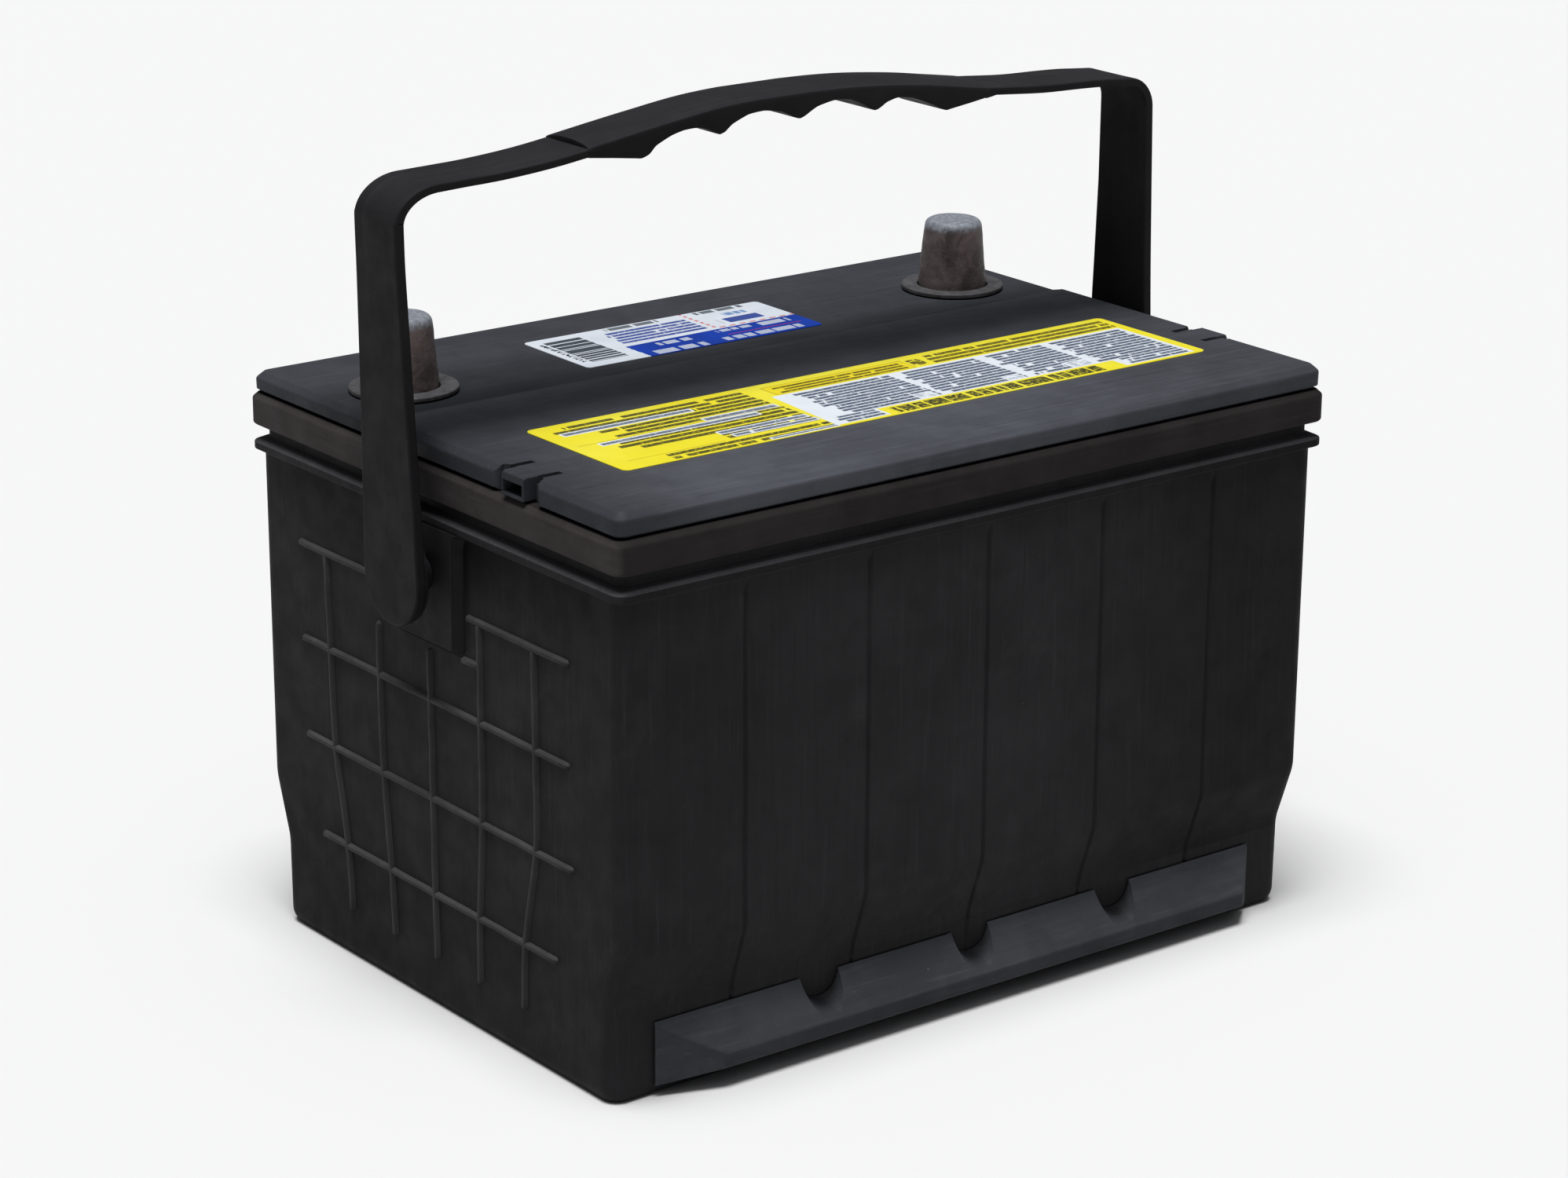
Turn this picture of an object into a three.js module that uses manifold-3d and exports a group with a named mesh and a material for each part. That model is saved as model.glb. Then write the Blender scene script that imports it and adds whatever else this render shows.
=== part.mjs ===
// Six-cell lead-acid battery with a top carry handle, hold-down rails and two tapered posts.
// Millimetres, +Z up. Origin: centre of the underside of the case. X along the long side, the posts stand nearer the +Y side.
import * as THREE from "three";
import { mergeVertices } from "three/addons/utils/BufferGeometryUtils.js";
import Module from "manifold-3d";

const wasm = await Module();
wasm.setup();

// ---------------------------------------------------------------- driving dimensions
const LENGTH = 241.0; // over the lid band and the flange
const WIDTH = 176.2; // over the lid band and the flange
const FLANGE_HX = LENGTH / 2;
const FLANGE_HY = WIDTH / 2;
const CORNER_R = 5.0; // vertical corner radius

const BASE_HX = 118.15; // half length of the case at its foot
const WALL_HX = 118.5; // half length under the flange
const BASE_HY = 80.1; // half width of the foot
const FOOT_TOP_HY = 80.35; // half width at the lower kink
const WALL_HY = 86.3; // half width above the upper kink
const KINK_LOW_Z = 25.4;
const KINK_HIGH_Z = 43.0;
const FLANGE_Z0 = 138.2; // underside of the flange
const FLANGE_Z1 = 140.5; // top of its upright edge
const FLANGE_Z2 = 142.1; // top of its slope, where the neck starts
const NECK_INSET = 3.3;
const NECK_Z = 145.1;
const FLOOR_T = 3.2;
const INNER_HX = 115.8;
const INNER_HY = 82.1;
const INNER_FOOT_HY = 77.4;
const CELLS = 6;
const CELL_PITCH = 40.0;
const PARTITION_T = 2.0;

const LID_Z0 = 145.4;
const LID_Z1 = 154.5;
const LID_BEVEL = 1.5;
const LID_PLATE_T = 4.2;
const FILLER_R = 8.5;
const FILLER_Y = -35.0;

const COVER_HX = 119.63;
const COVER_HY = 86.84;
const COVER_Z0 = 154.8;
const COVER_Z1 = 161.52; // front level
const COVER_Z2 = 160.47; // back level
const STEP_Y = 20.2; // where the ramp between the levels starts
const STEP_RUN = 4.6;
const COVER_BEVEL = 2.0;
const PLENUM_Z = 158.6; // roof of the gas space under the cover

const VENT_Y = -42.2; // middle of the vent tab
const TAB_HALF = 4.95;
const TAB_OUT_X = 120.6;
const SLOT_W = 3.8;
const SLOT_BACK_X = 116.3;
const SLOT_GROOVE_X = 109.6;
const PORT_HALF_Y = 3.9;
const PORT_Z0 = 156.0;
const PORT_Z1 = 159.1;
const FRIT_X = 112.6; // outer face of the flame arrestor
const FRIT_T = 3.0;

const POST_Y = 43.9;
const POST_POS_X = 94.6;
const POST_NEG_X = -97.6;
const POST_SHOULDER_Z = 162.5;
const POST_EDGE_Z = 179.5;
const POST_TOP_Z = 181.7;
const POST_POS_R = [10.1, 8.6, 6.8]; // at the collar, at the top edge, flat top
const POST_NEG_R = [9.65, 8.2, 6.4];
const COLLAR_R = 15.0;
const COLLAR_Z0 = 160.77;
const COLLAR_Z1 = 162.15;
const SLEEVE_R = 12.6;
const SLEEVE_Z0 = 150.9;

const PIVOT_Z = 125.0;
const PIVOT_PIN_R = 4.5;
const PIVOT_CLEAR = 0.3;
const BOSS_X = 120.8;
const BOSS_HALF_FRONT = 13.0;
const BOSS_HALF_BACK = 15.9;
const BOSS_Z0 = 105.8;
const ARM_END_R = 12.8;
const STRAP_T = 2.9;
const PAD_T = 1.3;
const PAD_TOP_R = 11.2;

const RAIL_X0 = -105.0;
const RAIL_X1 = 103.5;
const RAIL_OUT_Y = 88.1;
const RAIL_WALL_Y = 80.75;
const RAIL_Z0 = 5.8; // underside at the outer edge
const RAIL_FOOT_Z = 3.0; // underside at the wall
const RAIL_Z1 = 9.8;
const RAIL_Z2 = 21.1;
const RAIL_NOTCHES = [-51.5, 0.3, 52.0];

// ---------------------------------------------------------------- helpers
// A closed solid from a list of points and triangles, as a manifold.
function solid(points, faces) {
  // turn the faces round if the outline ran the other way
  let volume = 0;
  for (const [a, b, c] of faces) {
    const p = points[a],
      q = points[b],
      r = points[c];
    volume +=
      p[0] * (q[1] * r[2] - q[2] * r[1]) +
      p[1] * (q[2] * r[0] - q[0] * r[2]) +
      p[2] * (q[0] * r[1] - q[1] * r[0]);
  }
  if (volume < 0) faces = faces.map(([a, b, c]) => [a, c, b]);
  const g = new THREE.BufferGeometry();
  g.setAttribute("position", new THREE.Float32BufferAttribute(points.flat(), 3));
  g.setIndex(faces.flat());
  return solidOf(g);
}

function solidOf(geometry) {
  const g = geometry.clone();
  g.deleteAttribute("normal");
  g.deleteAttribute("uv");
  const m = mergeVertices(g, 1e-4);
  const made = new wasm.Manifold(
    new wasm.Mesh({
      numProp: 3,
      vertProperties: new Float32Array(m.attributes.position.array),
      triVerts: new Uint32Array(m.index.array),
    }),
  );
  if (made.volume() < 0) throw new Error("a solid is inside out");
  return made;
}

// Rings with the same number of points, joined in order and capped. Each ring is convex.
function loft(rings) {
  const n = rings[0].length;
  const points = rings.flat();
  const faces = [];
  for (let k = 0; k + 1 < rings.length; k++)
    for (let i = 0; i < n; i++) {
      const a = k * n + i,
        b = k * n + ((i + 1) % n),
        c = a + n,
        d = b + n;
      faces.push([a, b, d], [a, d, c]);
    }
  const top = (rings.length - 1) * n;
  for (let i = 1; i + 1 < n; i++) {
    faces.push([0, i + 1, i]);
    faces.push([top, top + i, top + i + 1]);
  }
  return solid(points, faces);
}

// Counter-clockwise rounded rectangle in plan.
function roundRect(hx, hy, r, seg = 4, cx = 0, cy = 0) {
  const out = [];
  const corners = [
    [hx - r, hy - r, 0],
    [-(hx - r), hy - r, 90],
    [-(hx - r), -(hy - r), 180],
    [hx - r, -(hy - r), 270],
  ];
  for (const [x, y, a0] of corners)
    for (let i = 0; i <= seg; i++) {
      const a = ((a0 + (90 * i) / seg) * Math.PI) / 180;
      out.push([cx + x + r * Math.cos(a), cy + y + r * Math.sin(a)]);
    }
  return out;
}

const ringAt = (outline, z) => outline.map(([x, y]) => [x, y, z]);

function plate(levels, seg = 4) {
  return loft(
    levels.map(([z, hx, hy, r]) => ringAt(roundRect(hx, hy, r, seg), z)),
  );
}

function box(x0, x1, y0, y1, z0, z1) {
  return loft([
    [
      [x0, y0, z0],
      [x1, y0, z0],
      [x1, y1, z0],
      [x0, y1, z0],
    ],
    [
      [x0, y0, z1],
      [x1, y0, z1],
      [x1, y1, z1],
      [x0, y1, z1],
    ],
  ]);
}

// A prism: any simple outline (u, v) pushed along an axis. map turns (u, v, w) into x, y, z.
function prism(outline, w0, w1, map) {
  const contour = outline.map(([u, v]) => new THREE.Vector2(u, v));
  if (THREE.ShapeUtils.isClockWise(contour)) contour.reverse();
  const tris = THREE.ShapeUtils.triangulateShape(contour, []);
  const n = contour.length;
  const points = [];
  for (const w of [w0, w1])
    for (const p of contour) points.push(map(p.x, p.y, w));
  const faces = [];
  for (const [a, b, c] of tris) {
    faces.push([a, c, b]);
    faces.push([a + n, b + n, c + n]);
  }
  for (let i = 0; i < n; i++) {
    const j = (i + 1) % n;
    faces.push([i, j, j + n], [i, j + n, i + n]);
  }
  return solid(points, faces);
}
const alongX = (y, z, x) => [x, y, z];
const alongY = (x, z, y) => [x, y, z];
const alongZ = (x, y, z) => [x, y, z];

// A turned solid about a vertical line, from (radius, z) pairs that start and end on the axis.
function turned(profile, cx, cy, seg = 24) {
  const g = new THREE.LatheGeometry(
    profile.map(([r, z]) => new THREE.Vector2(r, z)),
    seg,
  );
  g.rotateX(Math.PI / 2);
  g.translate(cx, cy, 0);
  return solidOf(g);
}

function cylinderX(r, x0, x1, y, z, seg = 24) {
  const outline = [];
  for (let i = 0; i < seg; i++) {
    const a = (2 * Math.PI * i) / seg;
    outline.push([y + r * Math.cos(a), z + r * Math.sin(a)]);
  }
  return prism(outline, x0, x1, alongX);
}

const cylinderZ = (r, z0, z1, x, y, seg = 24) =>
  turned(
    [
      [0, z0],
      [r, z0],
      [r, z1],
      [0, z1],
    ],
    x,
    y,
    seg,
  );

const join = (parts) => parts.reduce((a, b) => a.add(b));
const cut = (body, parts) => parts.reduce((a, b) => a.subtract(b), body);

// ---------------------------------------------------------------- the group
const root = new THREE.Group();
root.name = "deep_cycle_battery";

function add(name, manifold, colour, roughness = 0.8, metalness = 0) {
  const m = manifold.getMesh();
  const n = m.numProp;
  const v = new Float32Array(m.numVert * 3);
  for (let i = 0; i < m.numVert; i++)
    v.set(m.vertProperties.subarray(i * n, i * n + 3), i * 3);
  const g = new THREE.BufferGeometry();
  g.setAttribute("position", new THREE.BufferAttribute(v, 3));
  g.setIndex(new THREE.BufferAttribute(new Uint32Array(m.triVerts), 1));
  const flat = g.toNonIndexed();
  flat.computeVertexNormals();
  const mesh = new THREE.Mesh(
    flat,
    new THREE.MeshStandardMaterial({ color: colour, roughness, metalness }),
  );
  mesh.name = name;
  root.add(mesh);
}

// ---------------------------------------------------------------- case
const wallHX = (z) => BASE_HX + ((WALL_HX - BASE_HX) * z) / FLANGE_Z0;

const caseOuter = plate([
  [0, BASE_HX - 2.6, BASE_HY - 2.6, 3.6],
  [0.8, BASE_HX - 0.9, BASE_HY - 0.9, 4.4],
  [2.8, BASE_HX, BASE_HY, CORNER_R],
  [KINK_LOW_Z, wallHX(KINK_LOW_Z), FOOT_TOP_HY, CORNER_R],
  [KINK_HIGH_Z, wallHX(KINK_HIGH_Z), WALL_HY, CORNER_R],
  [FLANGE_Z0, WALL_HX, WALL_HY, CORNER_R],
  [FLANGE_Z0 + 0.3, FLANGE_HX, FLANGE_HY, CORNER_R + 1],
  [FLANGE_Z1, FLANGE_HX, FLANGE_HY, CORNER_R + 1],
  [FLANGE_Z2, FLANGE_HX - NECK_INSET, FLANGE_HY - NECK_INSET, CORNER_R],
  [NECK_Z, FLANGE_HX - NECK_INSET, FLANGE_HY - NECK_INSET, CORNER_R],
]);

// end lug with drafted sides, from the wall to the flange
function lug(side) {
  const ring = (x, half, z0) =>
    [
      [-half, FLANGE_Z0 + 1],
      [-half, z0 + 2],
      [-half + 2, z0],
      [half - 2, z0],
      [half, z0 + 2],
      [half, FLANGE_Z0 + 1],
    ].map(([y, z]) => [side * x, y, z]);
  const rings = [
    ring(117.6, BOSS_HALF_BACK, BOSS_Z0),
    ring(118.6, BOSS_HALF_BACK, BOSS_Z0),
    ring(BOSS_X, BOSS_HALF_FRONT, BOSS_Z0 + 0.6),
  ];
  if (side < 0) rings.forEach((r) => r.reverse());
  return loft(rings);
}

// thin raised ribs of an end face, as one flat pattern
const RIB_W = 1.7;
const RIB_OUT = 1.0;
const RIBS = [
  [[52.0, 116.2], [51.0, 88.6], [50.4, 60.5], [44.2, 33.2], [43.2, 14.0]],
  [[25.9, 103.9], [25.9, 88.6], [25.5, 60.5], [22.3, 33.0], [21.4, 14.0]],
  [[0.9, 103.0], [0.9, 60.5], [0.8, 33.0], [0.4, 14.0]],
  [[-23.0, 116.2], [-23.0, 60.5], [-20.5, 33.0], [-20.4, 14.0]],
  [[-48.0, 116.2], [-48.4, 60.5], [-41.4, 33.0], [-41.4, 14.0]],
  [[65.9, 116.2], [17.0, 116.2]],
  [[-17.0, 116.2], [-63.6, 116.2]],
  [[-14.5, 104.2], [-23.0, 104.2]],
  [[65.5, 88.6], [-63.4, 88.6]],
  [[64.9, 60.5], [-64.6, 60.5]],
  [[57.7, 33.0], [-56.9, 33.0]],
];
// A path of points made into a band of the given width, square at its ends and mitred at its bends.
function band(path, width) {
  const left = [],
    right = [];
  const unit = (a, b) => {
    const l = Math.hypot(b[0] - a[0], b[1] - a[1]);
    return [(b[0] - a[0]) / l, (b[1] - a[1]) / l];
  };
  path.forEach((p, k) => {
    const d0 = k ? unit(path[k - 1], p) : unit(p, path[k + 1]);
    const d1 = k + 1 < path.length ? unit(p, path[k + 1]) : d0;
    const n = [-d0[1] - d1[1], d0[0] + d1[0]];
    const l2 = n[0] * n[0] + n[1] * n[1];
    const c = width / l2;
    left.push([p[0] + n[0] * c, p[1] + n[1] * c]);
    right.push([p[0] - n[0] * c, p[1] - n[1] * c]);
  });
  return [...left, ...right.reverse()];
}
function ribs(side) {
  return join(
    RIBS.map((path) =>
      prism(
        band(path, RIB_W),
        side * 117.4,
        side * (WALL_HX - 0.15 + RIB_OUT),
        alongX,
      ),
    ),
  );
}

// inner thickening that holds the pivot socket
const innerLug = (side) =>
  side > 0
    ? box(106.6, 117, -9, 9, 112, 138)
    : box(-117, -106.6, -9, 9, 112, 138);

const cavities = [];
for (let i = 0; i < CELLS; i++) {
  const x0 = i === 0 ? -INNER_HX : (i - 3) * CELL_PITCH + PARTITION_T / 2;
  const x1 = i === CELLS - 1 ? INNER_HX : (i - 2) * CELL_PITCH - PARTITION_T / 2;
  const outline = (hy) => [
    [x0, -hy],
    [x1, -hy],
    [x1, hy],
    [x0, hy],
  ];
  cavities.push(
    loft([
      ringAt(outline(INNER_FOOT_HY), FLOOR_T),
      ringAt(outline(INNER_FOOT_HY), KINK_LOW_Z + 0.8),
      ringAt(outline(INNER_HY), KINK_HIGH_Z + 0.8),
      ringAt(outline(INNER_HY), NECK_Z + 1),
    ]),
  );
}
// pass holes for the intercell connectors, high in each partition
const LINK_Z = 121;
const LINK_R = 5.2;
const linkY = (i) => (i % 2 ? 52 : -52); // the side swaps from cell to cell
const linkHoles = [];
for (let i = 0; i < CELLS - 1; i++) {
  const x = (i - 2) * CELL_PITCH;
  linkHoles.push(cylinderX(LINK_R + 0.3, x - 2, x + 2, linkY(i), LINK_Z, 16));
}
const sockets = [-1, 1].map((s) =>
  cylinderX(
    PIVOT_PIN_R + PIVOT_CLEAR,
    s > 0 ? 109.3 : -125,
    s > 0 ? 125 : -109.3,
    0,
    PIVOT_Z,
    24,
  ),
);
let caseBody = caseOuter.add(lug(1)).add(lug(-1)).add(ribs(1)).add(ribs(-1));
caseBody = cut(caseBody, cavities);
caseBody = caseBody.add(innerLug(1)).add(innerLug(-1));
caseBody = cut(caseBody, [...sockets, ...linkHoles]);
add("case", caseBody, 0x242426, 0.72);

// ---------------------------------------------------------------- lid, heat-welded on the case
const lidOuter = plate([
  [LID_Z0, FLANGE_HX, FLANGE_HY, CORNER_R + 1],
  [LID_Z1 - LID_BEVEL, FLANGE_HX, FLANGE_HY, CORNER_R + 1],
  [LID_Z1, FLANGE_HX - LID_BEVEL, FLANGE_HY - LID_BEVEL, CORNER_R],
]);
const lidCuts = [];
for (let i = 0; i < CELLS; i++) {
  const x0 = i === 0 ? -INNER_HX : (i - 3) * CELL_PITCH + PARTITION_T / 2;
  const x1 = i === CELLS - 1 ? INNER_HX : (i - 2) * CELL_PITCH - PARTITION_T / 2;
  lidCuts.push(box(x0, x1, -INNER_HY, INNER_HY, LID_Z0 - 1, LID_Z1 - LID_PLATE_T));
  lidCuts.push(
    cylinderZ(FILLER_R, LID_Z0, LID_Z1 + 1, (x0 + x1) / 2, FILLER_Y, 20),
  );
}
for (const x of [POST_POS_X, POST_NEG_X])
  lidCuts.push(cylinderZ(SLEEVE_R + 0.3, LID_Z0, LID_Z1 + 1, x, POST_Y, 28));
add("lid", cut(lidOuter, lidCuts), 0x2e2a29, 0.75);

// ---------------------------------------------------------------- vent cover
let cover = plate([
  [COVER_Z0, COVER_HX, COVER_HY, CORNER_R + 0.5],
  [COVER_Z1 - COVER_BEVEL, COVER_HX, COVER_HY, CORNER_R + 0.5],
  [COVER_Z1, COVER_HX - COVER_BEVEL, COVER_HY - COVER_BEVEL, CORNER_R - 1],
]);
// the back level is about 1 mm lower, behind a short ramp
const levelCut = (() => {
  const drop = COVER_Z1 - COVER_Z2;
  const e = 0.02;
  const section = (x, y0) => [
    [x, y0 - (STEP_RUN * e) / drop, COVER_Z1 + e],
    [x, y0 + STEP_RUN, COVER_Z2],
    [x, 95, COVER_Z2],
    [x, 95, COVER_Z1 + e],
  ];
  return loft([
    section(-125, STEP_Y),
    section(125, STEP_Y),
  ]);
})();
cover = cover.subtract(levelCut);
const tabs = [];
const coverCuts = [];
for (const s of [-1, 1]) {
  const bx = (a, b, ...rest) =>
    s > 0 ? box(a, b, ...rest) : box(-b, -a, ...rest);
  tabs.push(
    prism(
      [
        [s * 112, COVER_Z0],
        [s * TAB_OUT_X, COVER_Z0],
        [s * TAB_OUT_X, COVER_Z1 - 0.9],
        [s * (TAB_OUT_X - 0.9), COVER_Z1],
        [s * 112, COVER_Z1],
      ],
      VENT_Y - TAB_HALF,
      VENT_Y + TAB_HALF,
      alongY,
    ),
  );
  for (const t of [-1, 1]) {
    const y0 = VENT_Y + (t > 0 ? TAB_HALF : -TAB_HALF - SLOT_W);
    coverCuts.push(bx(SLOT_BACK_X, 125, y0, y0 + SLOT_W, 150, 165));
    coverCuts.push(
      prism(
        [
          [s * (SLOT_BACK_X + 0.1), COVER_Z1 - 1.9],
          [s * (SLOT_BACK_X + 0.1), COVER_Z1 + 0.5],
          [s * (SLOT_GROOVE_X - 1.8), COVER_Z1 + 0.5],
        ],
        y0,
        y0 + SLOT_W,
        alongY,
      ),
    );
  }
  // gas passage: socket mouth, then the frit's seat, then into the plenum
  coverCuts.push(
    bx(100, 125, VENT_Y - PORT_HALF_Y, VENT_Y + PORT_HALF_Y, PORT_Z0, PORT_Z1),
  );
}
cover = cover.add(join(tabs));
cover = cut(cover, coverCuts);
// plenum with a wall all round and two posts' pads left solid
cover = cover.subtract(
  box(-106, 106, -78, 24, COVER_Z0 - 1, PLENUM_Z),
);
cover = cover.subtract(
  box(-74, 72, 23, 78, COVER_Z0 - 1, PLENUM_Z - 0.6),
);
for (const x of [POST_POS_X, POST_NEG_X])
  cover = cut(cover, [
    cylinderZ(SLEEVE_R + 0.3, COVER_Z0 - 1, COVER_Z1 + 1, x, POST_Y, 28),
    cylinderZ(COLLAR_R + 0.5, COVER_Z2, COVER_Z1 + 1, x, POST_Y, 28),
  ]);
add("vent_cover", cover, 0x2c2e33, 0.7);

// flame arrestors in the gas passages
for (const [name, s] of [
  ["frit_left", -1],
  ["frit_right", 1],
]) {
  const a = s * FRIT_X,
    b = s * (FRIT_X - FRIT_T);
  add(
    name,
    box(
      Math.min(a, b),
      Math.max(a, b),
      VENT_Y - PORT_HALF_Y + 0.3,
      VENT_Y + PORT_HALF_Y - 0.3,
      PORT_Z0 + 0.3,
      PORT_Z1 - 0.3,
    ),
    0x6f6a62,
    0.95,
  );
}

// ---------------------------------------------------------------- posts and their collars
function post(name, x, [r0, r1, r2]) {
  add(
    name,
    turned(
      [
        [0, 147.9],
        [r0 - 0.4, 147.9],
        [r0 - 0.2, 160],
        [r0, POST_SHOULDER_Z],
        [r1, POST_EDGE_Z],
        [r1 - 0.45, POST_EDGE_Z + 1.2],
        [r2 + 0.55, POST_TOP_Z - 0.25],
        [r2, POST_TOP_Z],
        [0, POST_TOP_Z],
      ],
      x,
      POST_Y,
      28,
    ),
    0x5a5350,
    0.7,
    0.3,
  );
}
post("post_pos", POST_POS_X, POST_POS_R);
post("post_neg", POST_NEG_X, POST_NEG_R);
function collar(name, x, rIn) {
  // a closed ring profile turned about the post's axis
  const profile = [
    [rIn, SLEEVE_Z0],
    [SLEEVE_R, SLEEVE_Z0],
    [SLEEVE_R, COLLAR_Z0],
    [COLLAR_R, COLLAR_Z0],
    [COLLAR_R, COLLAR_Z1 - 0.35],
    [COLLAR_R - 0.35, COLLAR_Z1],
    [rIn, COLLAR_Z1],
    [rIn, SLEEVE_Z0],
  ];
  add(name, turned(profile, x, POST_Y, 28), 0x4d4a49, 0.75, 0.3);
}
collar("collar_pos", POST_POS_X, POST_POS_R[0] + 0.3);
collar("collar_neg", POST_NEG_X, POST_NEG_R[0] + 0.3);

// ---------------------------------------------------------------- hold-down rails
function rail(name, side) {
  // profile steps along X: thin at the ramped end, full over the middle
  const section = (x, out) => {
    const t = (out - RAIL_WALL_Y) / (RAIL_OUT_Y - RAIL_WALL_Y);
    const z1 = RAIL_Z2 - 0.4 - (RAIL_Z2 - 0.4 - RAIL_Z1) * t;
    return [
      [x, -RAIL_WALL_Y, RAIL_FOOT_Z],
      [x, -RAIL_WALL_Y, RAIL_Z2],
      [x, -out, z1],
      [x, -out, RAIL_Z0],
    ];
  };
  let body = loft([
    section(RAIL_X0, RAIL_WALL_Y + 0.5),
    section(-87.3, RAIL_OUT_Y),
    section(96.2, RAIL_OUT_Y),
    section(RAIL_X1, RAIL_WALL_Y + 0.5),
  ].map((r) => r.reverse()));
  // scooped notches in the slope
  const scoop = (x) => {
    const r = 6.4,
      seg = 20;
    const rings = [];
    const c0 = [-RAIL_WALL_Y + 6, 17.3 + 6 * 0.87 + r],
      c1 = [-RAIL_WALL_Y - 9, 17.3 - 9 * 0.87 + r];
    for (const [y, z] of [c1, c0]) {
      const ring = [];
      for (let i = 0; i < seg; i++) {
        const a = (2 * Math.PI * i) / seg;
        ring.push([x + r * Math.cos(a), y, z + r * Math.sin(a)]);
      }
      rings.push(ring.reverse());
    }
    return loft(rings);
  };
  body = cut(body, RAIL_NOTCHES.map(scoop));
  const made = body;
  if (side > 0) {
    add(name, made, 0x33353a, 0.65);
    return;
  }
  // the other long side carries the same moulding, turned half round
  const m = made.rotate([0, 0, 180]);
  add(name, m, 0x33353a, 0.65);
}
rail("rail_front", 1);
rail("rail_rear", -1);

// ---------------------------------------------------------------- handle
// Stations of the strap, given on its outer side: x, z, outward normal, half width, thickness.
const HALF_TOP = 9.8;
function strapRing([x, z, nx, nz, half, t]) {
  const c = 0.45;
  const l = Math.hypot(nx, nz);
  nx /= l;
  nz /= l;
  const at = (d, y) => [x - nx * d, y, z - nz * d];
  return [
    at(0, half - c),
    at(c, half),
    at(t - c, half),
    at(t, half - c),
    at(t, -half + c),
    at(t - c, -half),
    at(c, -half),
    at(0, -half + c),
  ];
}
const widthAt = (z) => {
  const table = [
    [125, 12.8],
    [152, 11.95],
    [173, 11.05],
    [193, 10.3],
    [215, HALF_TOP],
    [300, HALF_TOP],
  ];
  for (let i = 0; i + 1 < table.length; i++)
    if (z <= table[i + 1][0]) {
      const [z0, h0] = table[i],
        [z1, h1] = table[i + 1];
      return h0 + ((h1 - h0) * (Math.max(z, z0) - z0)) / (z1 - z0);
    }
  return HALF_TOP;
};
function cornerStations(cx, cz, r, a0, a1, n, t0, t1) {
  const out = [];
  for (let i = 0; i <= n; i++) {
    const k = i / n;
    const a = ((a0 + (a1 - a0) * k) * Math.PI) / 180;
    const nx = Math.cos(a),
      nz = Math.sin(a);
    out.push([cx + r * nx, cz + r * nz, nx, nz, HALF_TOP, t0 + (t1 - t0) * k]);
  }
  return out;
}
const leftArm = [
  [-130.9, 125, -1, 0],
  [-131.1, 138, -1, 0],
  [-131.4, 152, -1, 0.01],
  [-131.9, 173, -1, 0.02],
  [-132.5, 196, -1, 0.02],
].map(([x, z, nx, nz]) => [x, z, nx, nz, widthAt(z), STRAP_T]);
const leftCorner = cornerStations(-124.2, 220.9, 9.1, 180, 92, 6, 2.9, 2.4);
const topLeft = [
  [-112, 230.15, -0.02, 1],
  [-99.4, 230.5, -0.05, 1],
  [-84.5, 231.6, -0.1, 1],
  [-70, 233.4, -0.13, 1],
].map(([x, z, nx, nz]) => [x, z, nx, nz, HALF_TOP, 2.3]);
const topRight = [
  [60, 233.4, 0.1, 1],
  [68, 232.7, 0.08, 1],
  [82, 231.5, 0.05, 1],
  [96, 231.0, 0.03, 1],
  [104, 230.6, 0.05, 1],
  [110.5, 230.0, 0.09, 1],
].map(([x, z, nx, nz]) => [x, z, nx, nz, HALF_TOP, 2.3]);
const rightCorner = cornerStations(114.3, 220.3, 9.35, 83, 0, 6, 2.4, 2.9);
const rightArm = [
  [123.9, 196, 1, 0],
  [123.85, 173, 1, 0],
  [123.9, 158, 1, 0],
  [124.4, 145, 1, 0.03],
  [125.2, 133, 1, 0.03],
  [125.35, 125, 1, 0],
].map(([x, z, nx, nz]) => [x, z, nx, nz, widthAt(z), STRAP_T]);
const strap = (stations) => loft(stations.map((s) => strapRing(s)));
const leftStrap = strap([...leftArm, ...leftCorner, ...topLeft]);
const rightStrap = strap([...topRight, ...rightCorner, ...rightArm]);

// grip: crowned top, finger scallops below, a small step where it meets each strap
const GRIP_TOP = [
  [-73.6, 234.0],
  [-60, 236.3],
  [-48.2, 238.0],
  [-31.7, 240.0],
  [-15, 240.8],
  [1.8, 240.7],
  [19.2, 240.0],
  [36.8, 238.2],
  [50, 236.2],
  [62, 234.3],
  [62.8, 232.7],
  [65.6, 232.4],
];
const GRIP_UNDER = [
  [-73.6, 230.5],
  [-65, 229.4],
  [-56.2, 228.2],
  [-52, 230.9],
  [-47, 233.0],
  [-42.5, 234.0],
  [-38, 234.1],
  [-34.5, 233.1],
  [-30.8, 231.4],
  [-27, 233.6],
  [-21.5, 235.6],
  [-16, 236.0],
  [-10, 234.9],
  [-4.1, 232.4],
  [1.5, 234.9],
  [7.5, 236.0],
  [13, 235.6],
  [18, 233.6],
  [21.9, 231.5],
  [25.5, 233.2],
  [29.5, 234.1],
  [34, 233.6],
  [38.5, 232.2],
  [43, 230.3],
  [47.2, 228.5],
  [56, 229.6],
  [62, 230.4],
  [62.8, 230.5],
  [65.6, 230.9],
];
const lerpZ = (list, x) => {
  for (let i = 0; i + 1 < list.length; i++)
    if (x <= list[i + 1][0]) {
      const [x0, z0] = list[i],
        [x1, z1] = list[i + 1];
      return z0 + ((z1 - z0) * (x - x0)) / (x1 - x0);
    }
  return list[list.length - 1][1];
};
const GRIP_HALF = 10.2;
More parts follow.
